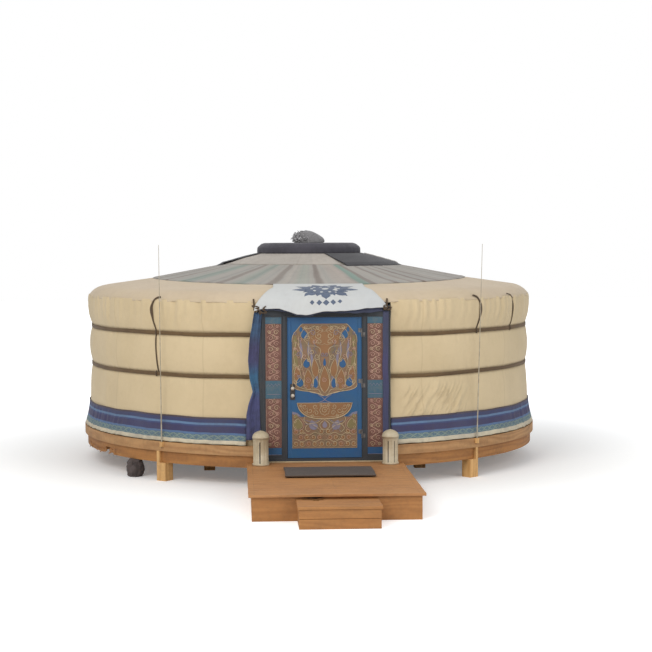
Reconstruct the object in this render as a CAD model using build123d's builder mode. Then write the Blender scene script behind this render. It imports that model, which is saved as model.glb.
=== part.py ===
from build123d import *
from math import asin, cos, degrees, hypot, radians, sin, sqrt, tan
import os

# A felt and canvas yurt on a round timber platform, with a porch, a step and a painted door.
# Millimetres, +Z up. The origin is on the ground, on the yurt's axis. The door faces -Y.
# A bearing is an angle about the axis, from the door (0) towards +X (90).

# ---------------------------------------------------------------- driving dimensions
wall_radius = 3200.0  # canvas, at the seam between wall and roof
rest_gap = 0.3  # between a piece and the one that it rests on or against
swing_gap = 5.0  # round the moving door
edge_gap = 0.5  # between cloth pieces that lie on each other

# platform
post_side = 150.0
rim_clearance = 240.0  # ground to the underside of the rim
lower_rim_height = 155.0
upper_rim_height = 125.0
upper_rim_overhang = 85.0  # how far the upper rim reaches past the wall
upper_rim_width = 90.0
lower_rim_width = 45.0
tongue_depth = 38.0  # of a post, outside the lower rim
tongue_width = 45.0
rim_breaks = ((-62.8, 130, 42), (-61.0, 150, 88), (-59.2, 130, 52))  # bearing, width and height of each notch
floor_height = 305.0  # top of the boards, inside and on the porch
board_thickness = 30.0
floor_clearance = 20.0  # inside the lower rim
joist_width = 70.0
joist_count = 13
bearer_depth = 120.0
bearer_width = 90.0
bearer_reach = 2400.0  # bearers stay inside this radius
bearer_rows = (-1600.0, -800.0, 0.0, 800.0, 1600.0)
bearer_post_rows = (-1.0, 0.0, 1.0)  # in steps of bearer_post_pitch along each bearer
bearer_post_pitch = 1450.0
post_bearings = (39, 112, 150, 180, 210, 248, 321)
arc_count = 8  # lengths that the round rims, skirt and roof covers are made in
seam_gap = 1.0  # between two such lengths

# wall
wall_felt_inner = 80.0  # wall_radius to the inner face of the felt
wall_foot_inset = 22.0
band_upper_z = 1939.0
band_lower_z = 1400.0
band_height = 50.0
band_thickness = 14.0
band_groove = 38.0  # how far the bands pull the canvas in
bulge_upper = 15.0
bulge_middle = 12.0
bulge_lower = 5.0
shoulder_z = 2384.0
skirt_top_z = 872.0
skirt_thickness = 8.0
skirt_waist = 0.28  # share of its spread that it has reached at half its height
lattice_thickness = 28.0
lattice_clearance = 7.0  # lattice to felt
lattice_panels = 6
lattice_columns = 7
lattice_rows = 5
lath_width = 34.0

# roof
eave_bend_radius = 2976.0
eave_bend_z = 2509.0
eave_inner_radius = 2208.0
eave_inner_z = 2618.0
eave_thickness = 45.0
eave_bulge = (11.0, 22.0)  # of its bend, outwards and upwards
roof_cover_thickness = 12.0  # it lies on the eave cover, out to an oval edge
roof_cover_half_width = 2290.0
roof_cover_half_length = 2620.0
roof_cover_top_z = 2806.0  # at the collar's edge
cover_lap = 24.0  # of the collar over the roof cover
collar_outer_radius = 1250.0
collar_outer_z = 2832.0
collar_thickness = 25.0
crown_radius = 760.0
crown_base_z = 2957.0
crown_side_height = 82.0
crown_height = 157.0
crown_top_radius = 695.0
crown_cover_thickness = 12.0
flap_from, flap_to = 15.0, 284.0  # bearings that the folded crown flap still covers
flap_thickness = 8.0
flap_inset = 15.0  # from the crown and from the collar's edge
knot_width, knot_depth, knot_height = 490.0, 320.0, 176.0
knot_outline = ((0.0, 0.62), (0.3, 0.86), (0.62, 1.0), (0.88, 0.82), (1.0, 0.5))  # shares of height and of width
pole_count = 60
pole_radius = 20.0
pole_slope = 0.2
pole_foot_z = 2380.0  # top of a pole where it bears on the lattice
crown_ring_outer = 720.0
crown_ring_width = 80.0
crown_ring_height = 140.0
spoke_count = 8
spoke_width = 40.0
hub_radius = 95.0
hub_rise = 95.0
pillar_side = 90.0
capital_width = 240.0
capital_height = 120.0

# door
frame_front = 3120.0  # distance of the frame's outer face from the axis
door_offset = 52.0  # the door and the porch stand this far to the right of the axis
frame_depth = 90.0
frame_half_width = 845.0
jamb_width = 90.0
sidelight_width = 205.0
mullion_width = 71.0
sill_height = 52.0
leaf_height = 1800.0
leaf_thickness = 45.0
head_top_z = 2316.0
stop_width = 16.0
stop_depth = 20.0
stile_width = 58.0
pocket_depth = 10.0  # of the leaf's panels
rail_thickness = 45.0
upper_panel_z = (1157.0, 2083.0)
lower_panel_z = (484.0, 890.0)
side_upper_panel_z = (1356.0, 2083.0)
side_lower_panel_z = (493.0, 1126.0)
side_foot_rail_z = 403.0
panel_thickness = 24.0
panel_recess = 10.0
hinge_radius = 9.0
hinge_pin_radius = 4.0
pin_clearance = 0.1
hinge_knuckle = 55.0
hinge_plate = 3.0
hinge_plate_width = 40.0
hinge_heights = (250.0, 900.0, 1550.0)  # above the leaf's foot
knob_height = 850.0  # above the leaf's foot
knob_inset = 64.0
knob_radius = 24.0
knob_reach = 58.0
knob_spread = 46.0  # each knob from the plate's middle
knob_plate_width = 56.0
knob_plate_height = 190.0
knob_plate_thickness = 4.0
spindle_radius = 9.0
spindle_clearance = 0.1

# canopy, borders, straps and side poles
canopy_thickness = 8.0
canopy_top_half = 590.0
canopy_foot_half = 842.0
canopy_reach = 85.0  # past the wall, at its foot
canopy_foot_z = 2222.0
left_border = (-983.0, -786.0)  # from the door's middle
right_border = (741.0, 821.0)
border_thickness = 12.0
border_foot_z = 640.0
strap_width = 24.0
strap_thickness = 8.0
strap_bearings = (42, 58, 100, 132, 164, 196, 228, 262, 318)
long_strap_bearings = (42, 318)  # these run on down to the lower band
strap_top_drop = 14.0
side_pole_bearings = (39.6, 321.5)
side_pole_leans = (2.2, -0.5)  # degrees, to the right when positive
side_pole_foot_radius = 9.0
side_pole_tip_radius = 3.0
side_pole_stand_off = 16.0
side_pole_tip_z = 3090.0
socket_height = 60.0
socket_width = 44.0
socket_wall = 7.0
socket_clearance = 3.0

# porch, step and what stands there
porch_half_width = 1000.0
porch_panel_half_width = 960.0
porch_front_y = -5628.0
porch_lap = 20.0  # from the door frame's face to the porch, at least
porch_board = 30.0
step_half_width = 465.0
step_depth = 476.0
step_height = 250.0
splinter_place = 288.0  # a splinter is missing from the tread's back edge, left of its middle
splinter_half_length = 130.0
splinter_half_width = 34.0
mat_width = 1090.0
mat_depth = 740.0
mat_thickness = 14.0
mat_from_door = 570.0
bollard_x = 822.0
bollard_y = -3326.0
bollard_radius = 103.0
bollard_cap_radius = 112.0
bollard_height = 440.0
bollard_cap_height = 96.0
stone_bearing = -49.0
stone_width = 250.0
stone_sides = 6
stone_outline = ((0.0, 0.3), (0.16, 0.42), (0.5, 0.5), (0.8, 0.48), (1.0, 0.36))  # shares of height and of width

# ---------------------------------------------------------------- derived dimensions
lower_rim_top = rim_clearance + lower_rim_height
hem_z = lower_rim_top + upper_rim_height
rim_outer = wall_radius + upper_rim_overhang
lower_rim_outer = rim_outer - tongue_depth - 2 * rest_gap
lower_rim_inner = lower_rim_outer - lower_rim_width
floor_radius = lower_rim_inner - floor_clearance
board_bottom = floor_height - board_thickness
opening_depth = 1200.0  # of the cut for the door, about the wall
opening_half = frame_half_width + 2 * edge_gap  # the wall, rims and bands stop here
opening_bearing = degrees(asin((opening_half - door_offset) / wall_radius))  # on its left
felt_inner = wall_radius - wall_felt_inner
groove_radius = wall_radius - band_groove
rim_end_y = sqrt(lower_rim_outer**2 - (opening_half - door_offset) ** 2)  # of the lower rim, beside the door
porch_back_y = -(max(frame_front + porch_lap, rim_end_y) + rest_gap)
lattice_outer = felt_inner - lattice_clearance
lattice_inner = lattice_outer - lattice_thickness
sill_top = floor_height + sill_height
leaf_foot = sill_top + swing_gap
leaf_top = leaf_foot + leaf_height
head_foot = leaf_top + swing_gap
leaf_half_width = frame_half_width - jamb_width - sidelight_width - mullion_width - swing_gap
mullion_inner = leaf_half_width + swing_gap
sidelight_inner = mullion_inner + mullion_width
jamb_inner = sidelight_inner + sidelight_width
hinge_x = door_offset + leaf_half_width + swing_gap / 2
hinge_y = -(frame_front + hinge_radius + 1.0)
roof_slope = (roof_cover_top_z - eave_inner_z - roof_cover_thickness) / (eave_inner_radius - collar_outer_radius)
eave_slope = (eave_inner_z - eave_bend_z) / (eave_bend_radius - eave_inner_radius)
collar_slope = (crown_base_z - collar_outer_z) / (collar_outer_radius - crown_radius)
crown_ring_top = crown_base_z - collar_thickness + collar_slope * (crown_radius - crown_ring_outer) - rest_gap
lattice_top = pole_foot_z - pole_slope * lattice_thickness - 2 * pole_radius * hypot(1, pole_slope) - 2 * rest_gap


# ---------------------------------------------------------------- helpers
def bearing_plane(bearing):
    """The upright plane through the axis at a bearing: x outwards, y up."""
    a = radians(bearing - 90)
    return Plane(origin=(0, 0, 0), x_dir=(cos(a), sin(a), 0), z_dir=(sin(a), -cos(a), 0))


def at_bearing(bearing, radius, z=0.0):
    """A level plane on that bearing, with x outwards."""
    a = radians(bearing - 90)
    return Plane(origin=(radius * cos(a), radius * sin(a), z), x_dir=(cos(a), sin(a), 0), z_dir=(0, 0, 1))


def arc_bearings(first, last, count):
    """Start bearing and sweep of each of the lengths that fill first to last, less their seams."""
    step = (last - first) / count
    seam = degrees(seam_gap / wall_radius)
    return [(first + i * step + seam / 2, step - seam) for i in range(count)]


def save(builder, name):
    """Labels a finished piece and writes it."""
    builder.part.label = name
    export_step(builder.part, f"parts/{name}.step")


def eave_z(radius):
    """Top of the eave cover, inside its bend."""
    return eave_bend_z + eave_slope * (eave_bend_radius - radius)


def roof_z(radius):
    """Underside of the roof cover, inside the eave cover."""
    return eave_inner_z + edge_gap + roof_slope * (eave_inner_radius - radius)


def collar_z(radius):
    """Top of the collar."""
    return collar_outer_z + collar_slope * (collar_outer_radius - radius)


def pole_top_z(radius):
    """The line that the tops of the roof poles follow."""
    return pole_foot_z + pole_slope * (lattice_inner - radius)


def canvas_outline(out):
    """The wall's outline at a bearing, pulled in at the two bands and moved outwards by out."""
    foot_z = floor_height + rest_gap
    foot_radius = wall_radius - wall_foot_inset + out
    groove = groove_radius + out
    lower = (band_lower_z - band_height / 2, band_lower_z + band_height / 2)
    upper = (band_upper_z - band_height / 2, band_upper_z + band_height / 2)
    top = (wall_radius + out, shoulder_z)
    lower_middle = (wall_radius + bulge_lower + out, (hem_z + lower[0]) / 2)
    middle = (wall_radius + bulge_middle + out, (lower[1] + upper[0]) / 2)
    upper_middle = (wall_radius + bulge_upper + out, (upper[1] + shoulder_z) / 2)
    Polyline(top, (felt_inner + out, shoulder_z), (felt_inner + out, foot_z), (foot_radius, foot_z), (foot_radius, hem_z))
    ThreePointArc((foot_radius, hem_z), lower_middle, (groove, lower[0]))
    Line((groove, lower[0]), (groove, lower[1]))
    ThreePointArc((groove, lower[1]), middle, (groove, upper[0]))
    Line((groove, upper[0]), (groove, upper[1]))
    ThreePointArc((groove, upper[1]), upper_middle, top)


os.makedirs("parts", exist_ok=True)

# ---------------------------------------------------------------- platform
with BuildPart() as deck_posts:
    for bearing in post_bearings:
        with BuildSketch(bearing_plane(bearing)):
            with BuildLine():
                Polyline(
                    (rim_outer - post_side, 0),
                    (rim_outer, 0),
                    (rim_outer, lower_rim_top - rest_gap),
                    (rim_outer - tongue_depth, lower_rim_top - rest_gap),
                    (rim_outer - tongue_depth, rim_clearance - rest_gap),
                    (rim_outer - post_side, rim_clearance - rest_gap),
                    close=True,
                )
            make_face()
        extrude(amount=post_side / 2, both=True)
    for bearing in post_bearings:
        # the tongue is a narrow strip on the side that faces away from the door
        side = 1 if bearing < 180 else -1
        with BuildSketch(at_bearing(bearing, rim_outer - tongue_depth / 2, rim_clearance - rest_gap)):
            with Locations((0, -side * tongue_width / 2)):
                Rectangle(tongue_depth + 2, post_side - tongue_width)
        extrude(amount=lower_rim_height + 1, mode=Mode.SUBTRACT)
save(deck_posts, "deck_posts")

with BuildPart() as lower_rim:
    for start, sweep in arc_bearings(opening_bearing - 1, 361 - opening_bearing, arc_count):
        with BuildSketch(bearing_plane(start)):
            with Locations(((lower_rim_inner + lower_rim_outer) / 2, rim_clearance + lower_rim_height / 2)):
                Rectangle(lower_rim_width, lower_rim_height)
        revolve(axis=Axis.Z, revolution_arc=sweep)
    with BuildSketch(Plane.XY):
        with Locations((door_offset, -wall_radius)):
            Rectangle(2 * opening_half, opening_depth)
    extrude(amount=hem_z, mode=Mode.SUBTRACT)
    # a piece has broken out of the lower edge on the left
    for bearing, width, height in rim_breaks:
        with BuildSketch(at_bearing(bearing, lower_rim_outer, rim_clearance)):
            Rectangle(4 * lower_rim_width, width)
        extrude(amount=height, mode=Mode.SUBTRACT)
save(lower_rim, "lower_rim")

with BuildPart() as upper_rim:
    for start, sweep in arc_bearings(opening_bearing - 1, 361 - opening_bearing, arc_count):
        with BuildSketch(bearing_plane(start)):
            with Locations((rim_outer - upper_rim_width / 2, lower_rim_top + upper_rim_height / 2 + rest_gap / 2)):
                Rectangle(upper_rim_width, upper_rim_height - rest_gap)
        revolve(axis=Axis.Z, revolution_arc=sweep)
    with BuildSketch(Plane.XY):
        with Locations((door_offset, -wall_radius)):
            Rectangle(2 * opening_half, opening_depth)
    extrude(amount=2 * hem_z, mode=Mode.SUBTRACT)
save(upper_rim, "upper_rim")

inside_edge = porch_back_y + rest_gap  # the floor meets the porch's boards here, under the door
with BuildPart() as floor:
    with BuildSketch(Plane.XY.offset(board_bottom)):
        Circle(floor_radius)
        with Locations((door_offset, inside_edge / 2)):
            Rectangle(2 * frame_half_width, -inside_edge)
        with Locations((0, inside_edge)):
            Rectangle(2 * floor_radius, -2 * inside_edge, align=(Align.CENTER, Align.MIN), mode=Mode.INTERSECT)
    extrude(amount=board_thickness)
save(floor, "floor")

with BuildPart() as deck_joists:
    with BuildSketch(Plane.XY.offset(rim_clearance + rest_gap)):
        pitch = 2 * (floor_radius - joist_width) / (joist_count - 1)
        with GridLocations(pitch, 0, joist_count, 1):
            Rectangle(joist_width, 2 * floor_radius)
        Circle(floor_radius, mode=Mode.INTERSECT)
        with Locations((0, inside_edge)):
            Rectangle(2 * floor_radius, -2 * inside_edge, align=(Align.CENTER, Align.MIN), mode=Mode.INTERSECT)
    extrude(amount=board_bottom - rim_clearance - 2 * rest_gap)
save(deck_joists, "deck_joists")

with BuildPart() as deck_bearers:
    for row in bearer_rows:
        half = sqrt(bearer_reach**2 - row**2)
        with BuildSketch(Plane.XY.offset(rim_clearance - bearer_depth)):
            with Locations((0, row)):
                Rectangle(2 * half, bearer_width)
        extrude(amount=bearer_depth)
save(deck_bearers, "deck_bearers")

with BuildPart() as inner_posts:
    with BuildSketch(Plane.XY):
        for row in bearer_rows[::2]:
            for step in bearer_post_rows:
                if hypot(step * bearer_post_pitch, row) < bearer_reach:
                    with Locations((step * bearer_post_pitch, row)):
                        Rectangle(post_side, post_side)
        for row in bearer_rows[1::2]:
            with Locations((-bearer_post_pitch / 2, row), (bearer_post_pitch / 2, row)):
                Rectangle(post_side, post_side)
    extrude(amount=rim_clearance - bearer_depth - rest_gap)
save(inner_posts, "inner_posts")

with BuildPart() as stone_pier:
    stone_radius = (lower_rim_inner + lower_rim_outer) / 2
    stone_height = rim_clearance - rest_gap
    for low, high in zip(stone_outline, stone_outline[1:]):
        for height, width in (low, high):
            with BuildSketch(at_bearing(stone_bearing, stone_radius, height * stone_height)):
                RegularPolygon(stone_width * width, stone_sides, rotation=12)
        loft()
save(stone_pier, "stone_pier")

# ---------------------------------------------------------------- wall
wall_lengths = arc_bearings(opening_bearing - 1, 361 - opening_bearing, arc_count)
for number, (start, sweep) in enumerate(wall_lengths, 1):
    with BuildPart() as wall_cover:
        with BuildSketch(bearing_plane(start)):
            with BuildLine():
                canvas_outline(0)
            make_face()
        revolve(axis=Axis.Z, revolution_arc=sweep)
        with BuildSketch(Plane.XY):
            with Locations((door_offset, -wall_radius)):
                Rectangle(2 * opening_half, opening_depth)
        extrude(amount=2 * shoulder_z, mode=Mode.SUBTRACT)
    save(wall_cover, f"wall_cover_{number}")

for name, middle in (("lower_band", band_lower_z), ("upper_band", band_upper_z)):
    with BuildPart() as band:
        with BuildSketch(bearing_plane(opening_bearing - 1)):
            with Locations((groove_radius + rest_gap + band_thickness / 2, middle)):
                Rectangle(band_thickness, band_height - 2 * rest_gap)
        revolve(axis=Axis.Z, revolution_arc=362 - 2 * opening_bearing)
        with BuildSketch(Plane.XY):
            with Locations((door_offset, -wall_radius)):
                Rectangle(2 * opening_half, opening_depth)
        extrude(amount=2 * shoulder_z, mode=Mode.SUBTRACT)
    save(band, name)

with BuildPart() as skirt:
    top_radius = wall_radius + bulge_lower + 2
    foot_radius = rim_outer - skirt_thickness - 2
    waist_radius = top_radius + skirt_waist * (foot_radius - top_radius)
    waist_z = (skirt_top_z + hem_z) / 2
    for start, sweep in wall_lengths:
        with BuildSketch(bearing_plane(start)):
            with BuildLine():
                ThreePointArc((top_radius, skirt_top_z), (waist_radius, waist_z), (foot_radius, hem_z + rest_gap))
                Line((foot_radius, hem_z + rest_gap), (foot_radius + skirt_thickness, hem_z + rest_gap))
                ThreePointArc(
                    (foot_radius + skirt_thickness, hem_z + rest_gap),
                    (waist_radius + skirt_thickness, waist_z),
                    (top_radius + skirt_thickness, skirt_top_z),
                )
                Line((top_radius + skirt_thickness, skirt_top_z), (top_radius, skirt_top_z))
            make_face()
        revolve(axis=Axis.Z, revolution_arc=sweep)
    skirt_ends = (left_border[0] - edge_gap, opening_half)
    with BuildSketch(Plane.XY):
        with Locations((door_offset + sum(skirt_ends) / 2, -wall_radius)):
            Rectangle(skirt_ends[1] - skirt_ends[0], opening_depth)
    extrude(amount=2 * skirt_top_z, mode=Mode.SUBTRACT)
save(skirt, "skirt")

lattice_lengths = arc_bearings(opening_bearing - 1, 361 - opening_bearing, lattice_panels)
for number, side in enumerate(("right", "back", "left")):
    with BuildPart() as lattice:
        for start, sweep in lattice_lengths[2 * number : 2 * number + 2]:
            with BuildSketch(bearing_plane(start)):
                with Locations(((lattice_inner + lattice_outer) / 2, (floor_height + rest_gap + lattice_top) / 2)):
                    Rectangle(lattice_thickness, lattice_top - floor_height - rest_gap)
            revolve(axis=Axis.Z, revolution_arc=sweep)
        with BuildSketch(Plane.XY):
            with Locations((door_offset, -wall_radius)):
                Rectangle(2 * opening_half, opening_depth)
        extrude(amount=2 * shoulder_z, mode=Mode.SUBTRACT)
        for start, sweep in lattice_lengths[2 * number : 2 * number + 2]:
            first = max(start, opening_bearing)
            last = min(start + sweep, 360 - opening_bearing)
            column = (last - first) / lattice_columns
            half_wide = radians(column) * lattice_inner / 2
            half_high = (lattice_top - floor_height) / lattice_rows / 2
            inset = 1 - lath_width * hypot(half_wide, half_high) / (2 * half_wide * half_high)
            for half_column in range(1, 2 * lattice_columns):
                for half_row in range(1, 2 * lattice_rows):
                    if (half_column + half_row) % 2 == 0:
                        bearing = first + column * half_column / 2
                        a = radians(bearing - 90)
                        middle = (lattice_inner - lath_width) * cos(a), (lattice_inner - lath_width) * sin(a)
                        outward = Plane(
                            origin=(*middle, floor_height + half_high * half_row),
                            x_dir=(-sin(a), cos(a), 0),
                            z_dir=(cos(a), sin(a), 0),
                        )
                        with BuildSketch(outward):
                            with BuildLine():
                                Polyline(
                                    (half_wide * inset, 0),
                                    (0, half_high * inset),
                                    (-half_wide * inset, 0),
                                    (0, -half_high * inset),
                                    close=True,
                                )
                            make_face()
        extrude(amount=lattice_thickness + 2 * lath_width, mode=Mode.SUBTRACT)
    save(lattice, f"lattice_{side}")

# ---------------------------------------------------------------- roof
ring_lengths = arc_bearings(0, 360, arc_count)
with BuildPart() as eave_cover:
    low = shoulder_z + rest_gap
    bend_middle = (
        (wall_radius + eave_bend_radius) / 2 + eave_bulge[0],
        (low + eave_bend_z) / 2 + eave_bulge[1],
    )
    for start, sweep in ring_lengths:
        with BuildSketch(bearing_plane(start)):
            with BuildLine():
                ThreePointArc((wall_radius, low), bend_middle, (eave_bend_radius, eave_bend_z))
                Polyline(
                    (eave_bend_radius, eave_bend_z),
                    (eave_inner_radius, eave_inner_z),
                    (eave_inner_radius, eave_inner_z - eave_thickness),
                    (eave_bend_radius - 15, eave_bend_z - eave_thickness),
                    (felt_inner, low),
                    (wall_radius, low),
                )
            make_face()
        revolve(axis=Axis.Z, revolution_arc=sweep)
save(eave_cover, "eave_cover")

with BuildPart() as roof_cover:
    reach = roof_cover_half_length + 100
    for start, sweep in ring_lengths:
        with BuildSketch(bearing_plane(start)):
            with BuildLine():
                Polyline(
                    (reach, eave_z(reach) + edge_gap),
                    (eave_inner_radius, eave_inner_z + edge_gap),
                    (collar_outer_radius - cover_lap, roof_z(collar_outer_radius - cover_lap)),
                    (collar_outer_radius - cover_lap, roof_z(collar_outer_radius - cover_lap) + roof_cover_thickness),
                    (eave_inner_radius, eave_inner_z + edge_gap + roof_cover_thickness),
                    (reach, eave_z(reach) + edge_gap + roof_cover_thickness),
                    close=True,
                )
            make_face()
        revolve(axis=Axis.Z, revolution_arc=sweep)
    with BuildSketch(Plane.XY):
        Ellipse(roof_cover_half_width, roof_cover_half_length)
    extrude(amount=2 * shoulder_z, mode=Mode.INTERSECT)
save(roof_cover, "roof_cover")

with BuildPart() as collar:
    inner = crown_ring_outer - crown_ring_width / 2
    for start, sweep in ring_lengths:
        with BuildSketch(bearing_plane(start)):
            with BuildLine():
                Polyline(
                    (collar_outer_radius, collar_z(collar_outer_radius)),
                    (inner, collar_z(inner)),
                    (inner, collar_z(inner) - collar_thickness),
                    (collar_outer_radius, collar_z(collar_outer_radius) - collar_thickness),
                    close=True,
                )
            make_face()
        revolve(axis=Axis.Z, revolution_arc=sweep)
save(collar, "collar")

with BuildPart() as crown_cover:
    wall = crown_cover_thickness
    with BuildSketch(bearing_plane(0)):
        with BuildLine():
            Polyline(
                (crown_radius, collar_z(crown_radius) + edge_gap),
                (crown_radius, crown_base_z + crown_side_height),
                (crown_top_radius, crown_base_z + crown_height),
                (0, crown_base_z + crown_height),
                (0, crown_base_z + crown_height - wall),
                (crown_top_radius - wall / 2, crown_base_z + crown_height - wall),
                (crown_radius - wall, crown_base_z + crown_side_height - wall / 2),
                (crown_radius - wall, collar_z(crown_radius - wall) + edge_gap),
                close=True,
            )
        make_face()
    revolve(axis=Axis.Z)
save(crown_cover, "crown_cover")

with BuildPart() as crown_flap:
    inner, outer = crown_radius + flap_inset, collar_outer_radius - flap_inset
    with BuildSketch(bearing_plane(flap_from)):
        with BuildLine():
            Polyline(
                (inner, collar_z(inner) + edge_gap),
                (outer, collar_z(outer) + edge_gap),
                (outer, collar_z(outer) + edge_gap + flap_thickness),
                (inner, collar_z(inner) + edge_gap + flap_thickness),
                close=True,
            )
        make_face()
    revolve(axis=Axis.Z, revolution_arc=flap_to - flap_from)
save(crown_flap, "crown_flap")

with BuildPart() as crown_knot:
    base = crown_base_z + crown_height + edge_gap
    for height, share in knot_outline:
        with BuildSketch(Plane.XY.offset(base + height * knot_height)):
            Ellipse(share * knot_width / 2, share * knot_depth / 2)
    loft()
save(crown_knot, "crown_knot")

for half, bearings in (("front", (-90, 90)), ("back", (90, 270))):
    with BuildPart() as roof_poles:
        pitch = 360 / pole_count
        for index in range(pole_count // 2):
            a = radians(bearings[0] + (index + 0.5) * pitch - 90)
            foot_radius = lattice_outer - pole_radius / 2
            rise = pole_top_z(foot_radius) - pole_radius * hypot(1, pole_slope)
            along = Plane(
                origin=(foot_radius * cos(a), foot_radius * sin(a), rise),
                x_dir=(-sin(a), cos(a), 0),
                z_dir=(-cos(a), -sin(a), pole_slope),
            )
            with BuildSketch(along):
                Circle(pole_radius)
        run = foot_radius - crown_ring_outer - rest_gap - pole_radius * pole_slope
        extrude(amount=run * hypot(1, pole_slope))
    save(roof_poles, f"roof_poles_{half}")

with BuildPart() as crown_ring:
    with BuildSketch(Plane.XY.offset(crown_ring_top - crown_ring_height)):
        Circle(crown_ring_outer)
        Circle(crown_ring_outer - crown_ring_width, mode=Mode.SUBTRACT)
    extrude(amount=crown_ring_height)
save(crown_ring, "crown_ring")

with BuildPart() as crown_spokes:
    low = crown_ring_top - spoke_width * 2
    reach = crown_ring_outer - crown_ring_width - 4 * rest_gap
    with BuildSketch(Plane.XY.offset(low + hub_rise - spoke_width / 2)):
        Circle(hub_radius)
    extrude(amount=2 * spoke_width)
    for index in range(spoke_count):
        with BuildSketch(bearing_plane((index + 0.5) * 360 / spoke_count)):
            with BuildLine():
                Polyline(
                    (hub_radius / 2, low + hub_rise),
                    (reach, low),
                    (reach, low + spoke_width),
                    (hub_radius / 2, low + hub_rise + spoke_width),
                    close=True,
                )
            make_face()
    extrude(amount=spoke_width / 2, both=True)
save(crown_spokes, "crown_spokes")

with BuildPart() as pillars:
    across = 2 * crown_ring_outer - crown_ring_width
    capital_foot = crown_ring_top - crown_ring_height - rest_gap - capital_height
    with BuildSketch(Plane.XY.offset(floor_height + rest_gap)):
        with GridLocations(across, 0, 2, 1):
            Rectangle(pillar_side, pillar_side)
    extrude(amount=capital_foot - floor_height - rest_gap)
    with BuildSketch(Plane.XY.offset(capital_foot)):
        with GridLocations(across, 0, 2, 1):
            Rectangle(pillar_side, capital_width)
    extrude(amount=capital_height)
save(pillars, "pillars")

# ---------------------------------------------------------------- door frame
frame_plane = Plane(origin=(door_offset, -frame_front, 0), x_dir=(1, 0, 0), z_dir=(0, -1, 0))  # x across, y up

with BuildPart() as door_frame:
    foot = floor_height + rest_gap
    with BuildSketch(frame_plane):
        for side in (-1, 1):
            with Locations((side * (frame_half_width - jamb_width / 2), (foot + head_top_z) / 2)):
                Rectangle(jamb_width, head_top_z - foot)
            with Locations((side * (mullion_inner + mullion_width / 2), (foot + head_top_z) / 2)):
                Rectangle(mullion_width, head_top_z - foot)
        with Locations((0, (foot + sill_top) / 2), (0, (head_foot + head_top_z) / 2)):
            Rectangle(2 * frame_half_width, sill_top - foot)
        with Locations((0, (head_foot + head_top_z) / 2)):
            Rectangle(2 * frame_half_width, head_top_z - head_foot)
    extrude(amount=-frame_depth)
    # the stops that the leaf closes against, behind it
    with BuildSketch(frame_plane.offset(-leaf_thickness - swing_gap)):
        with Locations((0, (sill_top + head_foot) / 2)):
            Rectangle(2 * mullion_inner, head_foot - sill_top)
        with Locations((0, (sill_top + head_foot - stop_width) / 2)):
            Rectangle(2 * (mullion_inner - stop_width), head_foot - sill_top - stop_width, mode=Mode.SUBTRACT)
    extrude(amount=-stop_depth)
save(door_frame, "door_frame")

side_middle = (sidelight_inner + jamb_inner) / 2
side_clear = sidelight_width - 2 * rest_gap
with BuildPart() as sidelight_rails:
    bands = (
        (side_foot_rail_z, side_lower_panel_z[0]),
        (side_lower_panel_z[1], side_upper_panel_z[0]),
        (side_upper_panel_z[1], head_foot - rest_gap),
    )
    with BuildSketch(frame_plane.offset(-panel_recess / 2)):
        for low, high in bands:
            for side in (-1, 1):
                with Locations((side * side_middle, (low + high) / 2)):
                    Rectangle(side_clear, high - low)
        for side in (-1, 1):
            with Locations((side * side_middle, (sill_top + side_foot_rail_z) / 2)):
                Rectangle(side_clear, side_foot_rail_z - sill_top - 2 * rest_gap)
    extrude(amount=-rail_thickness)
save(sidelight_rails, "sidelight_rails")

with BuildPart() as sidelight_panels:
    with BuildSketch(frame_plane.offset(-panel_recess)):
        for low, high in (side_lower_panel_z, side_upper_panel_z):
            for side in (-1, 1):
                with Locations((side * side_middle, (low + high) / 2)):
                    Rectangle(side_clear, high - low - 2 * rest_gap)
    extrude(amount=-panel_thickness)
save(sidelight_panels, "sidelight_panels")

# ---------------------------------------------------------------- door leaf, which swings out on the right
stile_inner = leaf_half_width - stile_width
knob_x = -(leaf_half_width - knob_inset)
knob_z = leaf_foot + knob_height
with BuildPart() as door_leaf:
    with BuildSketch(frame_plane):
        with Locations((0, (leaf_foot + leaf_top) / 2)):
            Rectangle(2 * leaf_half_width, leaf_height)
        with Locations((knob_x, knob_z)):
            Circle(spindle_radius + spindle_clearance, mode=Mode.SUBTRACT)
    extrude(amount=-leaf_thickness)
    with BuildSketch(frame_plane):
        for low, high in (lower_panel_z, upper_panel_z):
            with Locations((0, (low + high) / 2)):
                Rectangle(2 * stile_inner, high - low)
    extrude(amount=-pocket_depth, mode=Mode.SUBTRACT)
save(door_leaf, "door_leaf")

with BuildPart() as door_panels:
    with BuildSketch(frame_plane.offset(-rest_gap)):
        for low, high in (lower_panel_z, upper_panel_z):
            with Locations((0, (low + high) / 2)):
                Rectangle(2 * (stile_inner - rest_gap), high - low - 2 * rest_gap)
        with Locations((knob_x, knob_z)):
            Circle(spindle_radius + spindle_clearance, mode=Mode.SUBTRACT)
    extrude(amount=-pocket_depth + 2 * rest_gap)
save(door_panels, "door_panels")

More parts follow.
